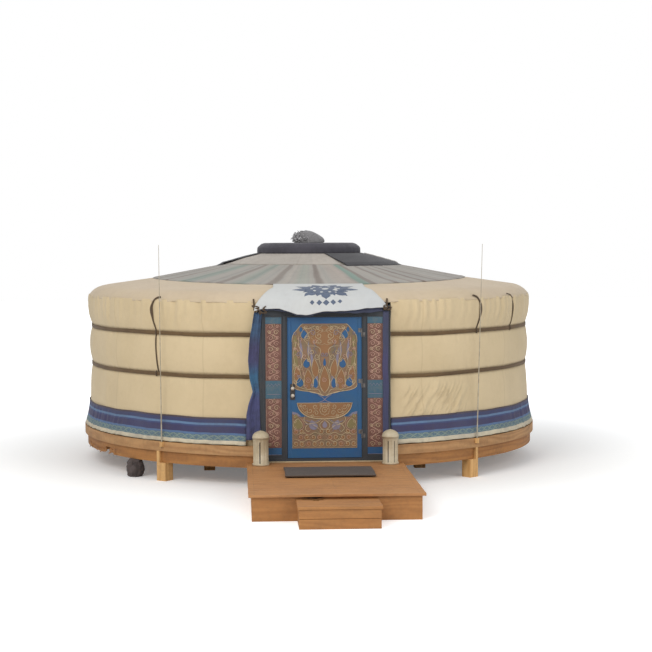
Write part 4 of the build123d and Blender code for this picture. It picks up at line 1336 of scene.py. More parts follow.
    def ties(self) -> None:
        """Brings straps down from under the eave and ties them round the bands."""
        parts = []
        low, high = self.bands
        for number, bearing in enumerate(self.straps):
            towards = 1.0 if bearing > 180 else -1.0
            long, faint = bearing in self.long_straps, bearing in self.faint_straps
            turn = np.linspace(1.5, 0, 15)
            fall = rows(2.23, high + 0.03, 0.02)
            bend = 0.0225 * (1 - np.cos(np.pi * (2.25 - fall) / (2.25 - high)))
            hook = (0.24 if faint else 0.17) * (1 - np.cos(turn))
            runs = [(np.append(2.25 + 0.162 * np.sin(turn), fall), np.append(hook, bend) - 0.04)]
            if long:
                z = rows(high - 0.03, low + 0.03, 0.03)
                runs.append((z, 0.085 * (high - z)))
            for part, (z, shift) in enumerate(runs):
                aside = towards * shift + 0.005 * waves(z, 60 + number, (0.9, 0.5))
                place = bearing + np.degrees(aside / self.radius)
                over_eave = 3.2135 - 0.55 * np.clip(z - 2.392, 0, 1)
                reach = np.where(z > 2.34, over_eave, self.surface(place, z) + 0.004)
                width = (0.022 + 0.03 * hump(z, 2.22, 0.09) * (part == 0)) * (0.6 if faint else 1.0)
                parts.append(strap("strap", around(place, reach + 0.003, z), outward(place), width, 0.006))
            for level in (high, low) if long else (high,):
                z = rows(level + 0.036, level - 0.036, 0.006)
                out = 3.186 - 0.012 * ((z - level) / 0.036) ** 2
                parts.append(strap("wrap", around(bearing, out, z), outward(bearing), 0.022, 0.006))
                if abs(bearing - 180) > 100:
                    continue
                sag = even(8)
                place = bearing + np.degrees(towards * 0.02 * sag / 3.2)
                tail = around(place, 3.192 + 0.01 * sag, level - 0.02 - 0.085 * sag)
                parts.append(strap("tail", tail, outward(bearing), 0.015, 0.003))
        gather("eave_straps", parts, "strap_webbing", "wall_straps")

    def laths(self, first: float, last: float) -> list[Piece]:
        """Lays both layers of laths from one bearing to another.

        Args:
            first: Where they start.
            last: Where they end.

        Returns:
            The laths.
        """
        low, high = self.lattice_z
        parts = []
        for layer, radius in enumerate(self.lattice_radii):
            starts = np.arange(first - self.lath_lean, last + self.lath_lean, self.lath_pitch)
            for number, start in enumerate(starts):
                share = even(25)
                bearing = start + (-1) ** layer * self.lath_lean * share
                keep = (bearing >= first + 0.3) & (bearing <= last - 0.3)
                if keep.sum() < 3:
                    continue
                path = around(bearing[keep], radius, low + (high - low) * share[keep])
                own = (0.0, 7.0 * (number * 2 + layer + 1))
                parts.append(strap("lath", path, outward(bearing[keep]), 0.032, 0.011, own))
        return parts

    def hide_ties(self, first: float, last: float) -> list[Piece]:
        """Knots a hide tie at each crossing of two laths.

        Args:
            first: Where they start.
            last: Where they end.

        Returns:
            The ties.
        """
        low, high = self.lattice_z
        lean = self.lath_lean
        parts = []
        for start in np.arange(first - lean, last + lean, self.lath_pitch):
            for other in np.arange(first - lean, last + 2 * lean, self.lath_pitch):
                share = (other - start) / (2 * lean)
                place = start + lean * share
                if 0.02 < share < 0.98 and first + 1 < place < last - 1:
                    path = around(place, np.array([3.082, 3.0845, 3.0868]), low + (high - low) * share)
                    parts.append(tube("knot", path, np.array([0.004, 0.007, 0.008]), 6))
        return parts

    def lattice(self) -> None:
        """Crosses the laths and ties them."""
        for side, first, last in (("right", 16.6, 126.0), ("back", 126.2, 235.8), ("left", 236.0, 345.3)):
            gather(f"laths_{side}", self.laths(first, last), "lath_willow", f"lattice_{side}")
            gather(f"lath_ties_{side}", self.hide_ties(first, last), "strap_webbing")

    def build(self) -> None:
        """Makes the whole wall."""
        self.canvas()
        self.felt()
        self.skirt()
        self.webbing()
        self.ties()
        self.lattice()


# ---------------------------------------------------------------- roof
@dataclass
class Roof:
    """The eave, roof, collar and crown cloths, and the timber under them."""

    gores: int = 30
    seam_bearing: float = 0.4
    hem_radius: float = 3.2
    bend_radius: float = 2.976  # where the eave's bend ends
    bend_z: float = 2.5095
    eave_inner: float = 2.208
    eave_top: float = 2.6185
    oval: tuple[float, float] = (2.29, 2.62)
    cover_inner: float = 1.228
    collar: tuple[float, float] = (0.70, 1.25)
    flap: tuple[float, float] = (0.772, 1.36)
    ring_radius: float = 0.638
    cap: str = (  # radius and height of the crown's cap, in millimetres
        "761,2958.5 763,2985 762,3015 759,3040 748,3058 720,3084 697,3102 660,3112.5 "
        "600,3113.5 500,3113.5 400,3113.5 300,3113.5 200,3113.5 100,3113.5 30,3113.5"
    )

    def eave_line(self) -> Array:
        """Radii and heights of the eave's face, from its hem up to its inner edge.

        Returns:
            Points, n by 2.
        """
        share, up = even(12), even(16)[1:]
        bend = stacked(bent(share, 3.2, 3.122, self.bend_radius), bent(share, 2.386, 2.4905, self.bend_z))
        radius = self.bend_radius + (self.eave_inner - self.bend_radius) * up
        slope = stacked(radius, self.bend_z + (self.eave_top - self.bend_z) * up)
        return np.vstack([spots("3210.5,2352 3208.5,2364 3205.5,2376"), bend, slope])

    def eave(self) -> None:
        """Lays the eave's canvas and the felt under it."""
        line_r, line_z = self.eave_line().T
        bearing, radius = grid(np.arange(0, 360, 0.9), line_r)
        run = np.radians(bearing) * self.hem_radius
        hem = smooth(radius, 3.14, 3.205)
        height = line_z + hem * 0.006 * waves(run, 71, (1.3, 0.57, 0.31)) * smooth(-line_z, -2.40, -2.36)
        height += smooth(radius, 2.3, 2.9) * (1 - 0.5 * hem) * 0.0035 * waves(run, 72, (0.9, 0.41, 0.23))
        radius = radius + hem * 0.003 * waves(run, 73, (0.61, 0.27, 0.14))
        cloth = Cloth("eave_canvas", around(bearing, radius, height), 0.005, ring=True)
        rests = [f"wall_canvas_{word}" for word in ("left", "right", "back")]
        lay_cloth(cloth, "eave_canvas", "draped", rests, "eave_cover")
        line_r, line_z = spots("3126,2395 3030,2452 2900,2481 2600,2523 2300,2566 2210,2579").T
        bearing, radius = grid(np.arange(0, 360, 3.0), line_r)
        cloth = Cloth("eave_felt", around(bearing, radius, line_z), 0.014, ring=True)
        lay_cloth(cloth, "felt", "draped", ["roof_poles_front", "roof_poles_back"])

    def cover(self) -> None:
        """Lays the roof cloth, out to its oval edge."""
        bearing, share = grid(np.arange(0, 360, 0.8), even(34))
        angle = np.radians(bearing)
        edge = 1 / np.sqrt((np.sin(angle) / self.oval[0]) ** 2 + (np.cos(angle) / self.oval[1]) ** 2)
        edge = edge * (1 + 0.0018 * waves(angle * 2.5, 81, (0.7, 0.33)))
        radius = self.cover_inner + (edge - self.cover_inner) * share
        on_poles = 2.6305 + 0.1837 * (self.eave_inner - radius)
        on_eave = self.bend_z + 0.1419 * (self.bend_radius - radius) + 0.0125
        turn = ((bearing - self.seam_bearing) / (360 / self.gores)) % 1
        off = np.minimum(turn, 1 - turn) * radius * 2 * np.pi / self.gores
        height = np.where(radius < self.eave_inner, on_poles, on_eave) + 0.004 * hump(off, 0, 0.012)
        height = height - 0.005 * np.sin(np.pi * turn) ** 2 * smooth(radius, 1.3, 1.6)
        height += 0.0015 * waves(angle * 2.4, 83, (0.21, 0.13)) * share - 0.006 * smooth(share, 0.985, 1.0)
        cloth = Cloth("roof_canvas", around(bearing, radius, height), 0.007, ring=True)
        under = ["eave_canvas", "roof_poles_front", "roof_poles_back"]
        lay_cloth(cloth, "roof_canvas", "draped", under, "roof_cover")

    def collar_z(self, radius: Array) -> Array:
        """Top of the collar."""
        return 2.832 + 0.2551 * (self.collar[1] - radius) - 0.019 * smooth(radius, 0.95, 1.25)

    def crown(self) -> None:
        """Lays the collar and the crown's cap."""
        bearing, radius = grid(np.arange(0, 360, 1.5), rows(*self.collar, 0.04))
        run = np.radians(bearing) * self.collar[1]
        height = self.collar_z(radius) + 0.002 * waves(run, 91, (0.4, 0.17)) * smooth(radius, 0.8, 1.25)
        radius = radius + 0.006 * waves(run, 92, (0.9, 0.37)) * smooth(radius, 1.1, 1.25)
        cloth = Cloth("collar_canvas", around(bearing, radius, height), 0.012, ring=True)
        lay_cloth(cloth, "collar_canvas", "draped", ["roof_canvas", "crown_ring"], "collar")

        line_r, line_z = spots(self.cap).T
        bearing, radius = grid(np.arange(0, 360, 1.8), line_r)
        run = np.radians(bearing) * 0.76
        radius = radius - 0.007 * smooth(radius, 0.55, 0.74) * (1 + waves(run, 93, (0.29, 0.13, 0.081))) / 2
        dip = 0.006 * smooth(radius, 0.3, 0.6) * smooth(line_z, 3.02, 3.1)
        height = line_z - dip * (1 + waves(run, 94, (0.8, 0.31))) / 2
        cloth = Cloth("crown_cap", around(bearing, radius, height), 0.006, ring=True, centre=(0.0, 0.0, 2.6))
        lay_cloth(cloth, "crown_cloth", "stretched", ["crown_ring"], "crown_cover")

    def folded_flap(self) -> None:
        """Folds the crown's flap back over the collar, with a pale binding across it."""
        share, out = grid(even(150), even(14))
        first, last = 14 + 6.5 * out, 292 - 10 * out
        bearing = first + (last - first) * share
        inner, outer = self.flap
        radius = inner + (outer - inner) * out + 0.012 * waves(share * 7, 96, (0.8, 0.31)) * out
        run = np.radians(bearing) * 1.2
        lift = 0.012 * smooth(radius, 1.0, 1.25)
        height = self.collar_z(radius) + 0.0105 + lift - 0.024 * smooth(radius, 1.27, 1.34)
        height = height + 0.004 * (1 + waves(run + out, 95, (0.47, 0.21, 0.13))) * smooth(out, 0.0, 0.3)
        points = around(bearing, radius, height)
        # the flap's cloth is a darker copy of the crown cloth, as painted shade
        cloth = Cloth("crown_flap_cloth", points, 0.005)
        lay_cloth(cloth, "shaded_flap_cloth", "laid", ["collar_canvas"], "crown_flap")
        dress(tube("flap_binding", points[38, 1:-1] + np.array([0, 0, 0.004]), 0.008, 6), "binding")

    def knot(self) -> None:
        """Gathers the crown cloth's end into a tied bunch."""
        low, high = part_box("crown_knot")
        middle = (np.array(low) + np.array(high)) / 2
        half = (np.array(high) - np.array(low)) / 2
        lift, angle = grid(even(44), turns(144))
        dome = np.clip(np.cos(lift * np.pi / 2), 0, 1) ** 0.5 * np.interp(lift, (0, 0.12, 1), (0.9, 1, 1))
        left = smooth(-np.cos(angle), -0.2, 0.7)
        run = angle / (2 * np.pi) * 1.3
        pleats = np.abs(waves(run + 0.05 * np.sin(6 * lift), 101, (1.3 / 13, 1.3 / 9))) ** 0.7
        frill = np.abs(waves(run + 0.1 * lift, 102, (1.3 / 41, 1.3 / 29)))
        ruffled = 1 + left * (0.2 * frill - 0.13) * smooth(lift, 0.05, 0.3) * smooth(-lift, -0.97, -0.8)
        size = dome * (0.93 + 0.07 * pleats) * ruffled
        x = middle[0] + half[0] * 0.97 * size * np.cos(angle)
        y = middle[1] + half[1] * 0.97 * size * np.sin(angle)
        taper = 1 - 0.34 * smooth(x / half[0], -0.05, 0.85)
        base = low[2] - 0.008
        z = base + (high[2] - base) * np.sin(lift * np.pi / 2) ** 0.9 * taper * (1 - 0.07 * left * frill)
        piece = dress(loft("crown_knot_bunch", stacked(x, y, z)), "knot_cloth", "crown_knot")
        draw = np.random.RandomState(105)
        tails = []
        for _ in range(120):
            along, up = draw.uniform(0.02, 0.92), draw.uniform(0.1, 1.08)
            shell = math.sqrt(max(1 - along**2, 0.05)) * math.cos(up * 1.4)
            foot = low[2] + 0.16 * up * math.sqrt(1 - 0.7 * along**2)
            start = np.array([middle[0] - half[0] * along, -0.148 * shell, foot])
            way = np.array([-draw.uniform(0.1, 0.9), -draw.uniform(0.2, 0.8), draw.uniform(-0.3, 1.0)])
            reach = np.linspace(0, draw.uniform(0.03, 0.065), 7)[:, None]
            fall = np.array([0, 0, -1.0]) * (reach / 0.08) ** 2 * 0.03
            path = start + way / np.linalg.norm(way) * reach + fall
            path[:, 2] = np.clip(path[:, 2], low[2] - 0.012, high[2] - 0.004)
            face = np.array([draw.uniform(-1, 1), draw.uniform(-1, 1), 1.0])
            tails.append(strap("tail", path, face, 0.026, 0.003))
        # the tails take a lighter copy of the knot's cloth: painted light
        gather("crown_knot_frills", tails, "lit_frill_cloth")
        turn = np.linspace(0, 2 * np.pi, 40)
        ring = stacked(middle[0] + 0.222 * np.cos(turn), middle[1] + 0.146 * np.sin(turn), low[2] + 0.012)
        dress(tube("crown_knot_tie", ring, 0.006, 7), "knot_cloth")

    def timber(self) -> None:
        """Paints the poles, ring, spokes and pillars."""
        timbers = ("roof_poles_front", "roof_poles_back", "crown_ring", "crown_spokes", "pillars")
        dress_nodes(**dict.fromkeys(timbers, "pole_paint"))
        for level in (2.835, 2.905):
            ring = hoop(0.0, 0.0, level, self.ring_radius, np.linspace(0, 2 * np.pi, 97))
            dress(tube(f"crown_ring_line_{round(level * 1000)}", ring, 0.004, 6), "gold_paint")

    def build(self) -> None:
        """Makes the whole roof."""
        self.eave()
        self.cover()
        self.crown()
        self.folded_flap()
        self.knot()
        self.timber()


# ---------------------------------------------------------------- painted ornament
FRONT = np.array([0.0, -1.0, 0.0])
MIRROR = np.array([-1.0, 1.0])  # turns x and z to the other side of the door's middle


def slab(outline: Array, front: float, thickness: float = 0.002, name: str = "part") -> Piece:
    """Cuts a thin flat shape that faces the door's front.

    Args:
        outline: Its corners as x from the door's middle and z.
        front: y of its face.
        thickness: Through.
        name: Of the object.

    Returns:
        The new object.
    """
    flat = np.asarray(outline, float)
    turned = np.roll(flat, -1, axis=0)
    if (flat[:, 0] * turned[:, 1] - turned[:, 0] * flat[:, 1]).sum() < 0:
        flat = flat[::-1]
    rings = [stacked(flat[:, 0] + DOOR_X, y, flat[:, 1]) for y in (front + thickness, front)]
    return loft(name, np.stack(rings), flat=True)


def stroke(path: Array, front: float, width: float, thickness: float) -> Piece:
    """Draws a raised line on the door's front, thinner at its ends.

    Args:
        path: Its points as x from the door's middle and z.
        front: y of its middle.
        width: Across.
        thickness: Through.

    Returns:
        The new object.
    """
    share = even(len(path))
    taper = 0.45 + 0.55 * np.minimum(1, 6 * np.minimum(share, 1 - share))
    return strap("part", stacked(path[:, 0] + DOOR_X, front, path[:, 1]), FRONT, width * taper, thickness)


def both(path: Array) -> list[Array]:
    """A shape and its mirror about the door's middle."""
    return [path, path * MIRROR]


def closed_over(edge: Array) -> Array:
    """A line that ends at the door's middle, carried on by its mirror."""
    return np.vstack([edge, (edge * MIRROR)[::-1][1:]])


def oblong(left: float, low: float, right: float, high: float) -> Array:
    """The corners of an upright rectangle."""
    return np.array([(left, low), (right, low), (right, high), (left, high)])


def curve(knots: Array, count: int = 16) -> Array:
    """A smooth line through points.

    Args:
        knots: The points, n by 2.
        count: How many steps each stretch has.

    Returns:
        The line's points.
    """
    padded = np.vstack([2 * knots[0] - knots[1], knots, 2 * knots[-1] - knots[-2]])
    out = []
    for a, b, c, d in zip(padded, padded[1:], padded[2:], padded[3:]):
        t = np.linspace(0, 1, count, endpoint=False)[:, None]
        second, third = 2 * a - 5 * b + 4 * c - d, 3 * b - a - 3 * c + d
        out.append(0.5 * (2 * b + (c - a) * t + second * t**2 + third * t**3))
    return np.vstack([*out, knots[-1:]])


def spiral(x: float, z: float, size: float, start: float, turns: float, way: float = 1) -> Array:
    """Winds a scroll in to a point.

    Args:
        x: Of its middle.
        z: Of its middle.
        size: Its radius at the outside.
        start: Bearing of its outer end, in degrees from +x.
        turns: How often it winds.
        way: 1 anticlockwise, -1 clockwise.

    Returns:
        Its points, from the outside in.
    """
    share = even(int(16 * turns) + 4)
    angle = np.radians(start) + way * turns * 2 * np.pi * share
    radius = size * (1 - share) ** 0.8 + 0.003
    return stacked(x + radius * np.cos(angle), z + radius * np.sin(angle))


def drop(x: float, z: float, width: float, height: float, lean: float = 0.0) -> Array:
    """The outline of a petal with a pointed top, widest below its middle.

    Args:
        x: Its middle.
        z: Its middle's height.
        width: Across.
        height: From foot to top.
        lean: How far its top leans.

    Returns:
        Its points, n by 2.
    """
    share = even(13)
    half = width / 2 * np.sin(np.pi * share**0.72) ** 0.85
    up = z - height / 2 + height * share
    shift = lean * share**2
    return np.vstack([stacked(x + half + shift, up), stacked(x - half + shift, up)[1:-1][::-1]])


def petals(text: str) -> list[Array]:
    """Petals by x, z, width, height and lean in millimetres, each off the middle with its mirror.

    Args:
        text: A group of numbers for each.

    Returns:
        Their outlines.
    """
    out = []
    for numbers in listed(text):
        shape = drop(*(number / 1000 for number in numbers))
        out += both(shape) if numbers[0] else [shape]
    return out


def scalloped(z: float, width: float, height: float, lobes: int, depth: float = 0.12) -> Array:
    """The outline of a lobed medallion in the door's middle.

    Args:
        z: Its middle's height.
        width: Across.
        height: From foot to top.
        lobes: How many it has.
        depth: Of the dips between them, as a share.

    Returns:
        Its points, n by 2.
    """
    angle = turns(lobes * 8)
    reach = 1 - depth + depth * np.abs(np.cos(lobes * angle / 2))
    return stacked(width / 2 * reach * np.cos(angle), z + height / 2 * reach * np.sin(angle))


@dataclass
class LeafOrnament:
    """The painted and carved ornament of the door leaf, which turns with it."""

    face: float = -3.1203  # y of the leaf's face
    step: float = 0.0011  # each layer stands this far in front of the one below
    line: float = 0.0034  # the raised lines' thickness
    fields: dict[str, list[Piece]] = field(default_factory=dict)
    count: int = 0

    def front(self, layer: float) -> float:
        """The y of a layer, a hair further out for each shape so that no two faces lie in one plane."""
        self.count += 1
        return self.face - self.step * layer - 0.000004 * self.count

    def lay(self, finish: str, layer: int, *outlines: Array) -> None:
        """Adds flat shapes in a finish.

        Args:
            finish: Its name.
            layer: How many layers it stands out.
            outlines: Of the shapes.
        """
        parts = self.fields.setdefault(finish, [])
        for outline in outlines:
            parts.append(slab(outline, self.front(layer), self.step * 1.6))

    def draw(self, finish: str, width: float, *paths: Array, layer: float = 4) -> None:
        """Adds raised lines in a finish.

        Args:
            finish: Its name.
            width: Of the lines.
            paths: Their middle lines.
            layer: How many layers they stand out.
        """
        parts = self.fields.setdefault(finish, [])
        for path in paths:
            parts.append(stroke(path, self.front(layer), width, self.line))

    def sweep(self, finish: str, width: float, *lines: str) -> None:
        """Adds smooth lines through points in millimetres, each with its mirror."""
        for line in lines:
            self.draw(finish, width, *both(curve(spots(line))))

    def scroll(self, finishes: Sequence[str], width: float, turned: float, text: str) -> None:
        """Adds scrolls with their mirrors.

        Args:
            finishes: Taken in turn.
            width: Of the line.
            turned: How often each winds.
            text: x, z and size in millimetres, the start in degrees and the way.
        """
        for number, (x, z, size, start, way) in enumerate(listed(text)):
            path = spiral(x / 1000, z / 1000, size / 1000, start, turned, way)
            self.draw(finishes[number % len(finishes)], width, *both(path))

    def grounds(self) -> None:
        """Cuts the panels' corners with the leaf's blue and marks the lower field."""
        corner = curve(spots("417,1850 405,1930 355,2000 300,2066 270,2084"))
        foot = curve(spots("417,1310 400,1268 320,1232 150,1207 50,1170 12,1156"))
        for edge, end in ((corner, "417,2084"), (foot, "417,1156")):
            self.lay("leaf_paint", 1, *both(np.vstack([edge, spots(end)])))
        dip = closed_over(curve(spots("360,925 290,872 170,862 0,858")))
        self.lay("panel_paint", 1, np.vstack([spots("-417,820 417,820 417,945"), dip, spots("-417,945")]))
        self.draw("gold_paint", 0.007, *both(corner), *both(foot))
        for ends in (
            "300,2066 -300,2066", "-412,1310 -412,1850", "-412,490 -412,940",
            "412,1310 412,1850", "412,490 412,940", "-410,490 410,490",
        ):
            self.draw("gold_paint", 0.006, spots(ends))
        self.lay("lilac_paint", 2, *both(spots("417,960 350,940 300,895 360,905 417,930")))

    def upper(self) -> None:
        """The upper field: a lobed medallion over a spray of petals and scrolls."""
        for z, width, height, lobes in ((1.905, 0.42, 0.25, 10), (1.985, 0.30, 0.13, 8), (1.75, 0.16, 0.14, 6)):
            self.lay("amber_paint", 2, scalloped(z, width, height, lobes))
        self.draw("gold_paint", 0.003, ringed(scalloped(1.905, 0.35, 0.19, 10, 0.2)))
        for finish, layer, text in (
            ("olive_paint", 2, "372,1600,62,420 375,1860,55,160"),
            ("lilac_paint", 2, "155,1640,35,300,30 295,1760,34,300,20 105,1360,45,220 205,1760,30,200"),
            ("leaf_paint", 3, "231,1575,82,115 118,1325,60,130 315,1335,85,120 0,1590,36,100"),
            ("leaf_paint", 3, "255,1950,85,120,20 300,2010,40,70"),
        ):
            self.lay(finish, layer, *petals(text))
        spray = petals("0,1370,125,340 205,1370,120,270,10 115,1520,90,240,20 345,1440,90,220,10")
        self.lay("amber_paint", 2, *spray)
        self.draw("gold_paint", 0.006, *map(ringed, spray))
        for x, z, size in spots("0,1365,30 205,1360,35 -205,1360,35"):
            self.draw("rose_paint", 0.006, spiral(x, z, size, 90, 1.6))
        self.sweep(
            "gold_paint", 0.0065,
            "40,1170 90,1240 240,1245 370,1300 400,1400", "50,1540 70,1640 50,1740 100,1790 210,1800",
            "170,1470 180,1600 210,1680 200,1780 240,1850", "280,1490 300,1600 280,1700 330,1800 330,1930",
            "400,1490 385,1600 400,1700 370,1820 390,1880", "10,1200 60,1290 65,1420 20,1560",
            "160,1240 140,1360 160,1480", "270,1270 260,1380 280,1500",
            "210,1830 260,1880 220,1950 160,2000 200,2050", "50,2040 140,2050 200,2020 290,2040",
        )
        for finish, width, line, shifts in (
            ("rose_paint", 0.005, "400,0 365,30 335,-10 300,35", "0,1420 0,1500 0,1660 0,1740 0,1820"),
            ("gold_paint", 0.005, "0,2060 30,2030 -10,2000 20,1965", "30,0 75,0 120,0"),
            ("lilac_paint", 0.006, "100,0 135,50 125,90", "0,1620 0,1700 0,1780"),
        ):
            for shift in spots(shifts):
                self.draw(finish, width, *both(curve(spots(line) + shift)))
        outlines = petals("230,1575,98,140 118,1325,98,140 315,1335,98,140 255,1950,98,140")
        self.draw("gold_paint", 0.005, *map(ringed, outlines))
        self.scroll(
            ("gold_paint", "gold_paint", "rose_paint", "lilac_paint"), 0.0068, 1.3,
            "95,1660,36,200,1 165,1725,30,0,-1 255,1665,32,180,1 335,1700,28,20,-1 315,1525,30,220,1 "
            "60,1475,22,180,-1 265,1445,22,180,1 155,1290,22,300,1 370,1335,26,120,-1 210,1900,35,250,1 "
            "310,1885,30,100,-1 150,1965,36,0,1 75,1930,42,40,-1 65,1850,34,300,1 130,1855,30,90,1 "
            "375,1965,20,200,1 200,1620,24,90,-1 385,1560,20,90,1 385,1760,20,270,-1 20,1690,24,180,1 "
            "240,2030,24,180,-1 90,2020,22,0,1 245,1285,22,120,1 330,1400,22,0,1",
        )

    def bowl(self) -> None:
        """The half-moon bowl with crossed stems over it and curled feet."""
        whole = closed_over(curve(spots("354,1068 325,985 255,915 150,875 0,860")))
        self.lay("amber_paint", 2, whole)
        self.draw("gold_paint", 0.011, ringed(whole), layer=4.4)
        self.sweep("gold_paint", 0.005, "315,1045 285,975 225,925 130,895 0,882")
        heart = ringed(scalloped(0.975, 0.13, 0.13, 8, 0.16))
        self.draw("gold_paint", 0.006, heart, spiral(0.0, 0.975, 0.04, 0, 1.5))
        self.scroll(
            ("gold_paint",), 0.0055, 1.25,
            "120,1020,32,200,1 190,970,36,60,-1 255,1020,32,180,1 110,940,30,0,1 "
            "310,1035,18,90,1 235,940,18,0,1 50,1045,16,0,-1 165,905,20,90,1",
        )
        self.sweep("lilac_paint", 0.009, "90,1175 30,1140 -20,1095 -85,1072")
        self.sweep("gold_paint", 0.006, "12,1160 60,1185 150,1200 260,1235")
        self.sweep(
            "gold_paint", 0.007,
            "30,862 100,815 200,800 250,745 215,700 180,725",
            "250,905 265,850 220,800 130,775 60,720", "0,850 60,800 50,745 0,720",
        )
        self.lay("lilac_paint", 2, *petals("140,785,110,130,30 0,790,60,90"))
        for width, line in (
            (0.009, "60,860 130,800 200,700"), (0.009, "240,840 150,790 100,700"),
            (0.008, "-50,860 -140,820 -260,850"), (0.008, "-260,800 -170,790 -100,740"),
        ):
            self.draw("lilac_paint", width, curve(spots(line)))

    def lower(self) -> None:
        """The lower field: rows of scrolls with leaves and waves between them."""
        self.lay("olive_paint", 2, *petals("345,800,110,130 370,900,50,60"))
        self.draw("gold_paint", 0.006, *map(ringed, petals("345,800,115,140")))
        for row, z in enumerate((0.545, 0.63, 0.705)):
            for column in range(5):
                x = 0.045 + 0.082 * column + 0.02 * (row % 2)
                if x > 0.39 or (row == 2 and column in (1, 2)):
                    continue
                way = 1 if (row + column) % 2 else -1
                finish = ("gold_paint", "rose_paint")[(row + 2 * column) % 3 == 1]
                self.draw(finish, 0.0058, *both(spiral(x, z, 0.036, 90 + 90 * way, 1.35, way)))
                self.lay("amber_paint", 2, *both(drop(x, z, 0.05, 0.06)))
        wave = np.linspace(0, 0.4, 40)
        for z, shift in ((0.585, 0.0), (0.672, 0.5)):
            line = stacked(wave, z + 0.016 * np.sin(2 * np.pi * (wave / 0.164 + shift)))
            self.draw("gold_paint", 0.006, *both(line))
        self.scroll(("gold_paint",), 0.005, 1.2, "385,750,20,90,1 385,830,20,90,1 385,900,20,90,1")
        self.sweep("rose_paint", 0.006, "400,730 330,710 270,760 280,840 350,900")

    def build(self) -> None:
        """Makes the ornament and joins it by finish."""
        self.grounds()
        self.upper()
        self.bowl()
        self.lower()
        for finish, parts in self.fields.items():
            gather(f"leaf_{finish}", parts, finish, body=LEAF)


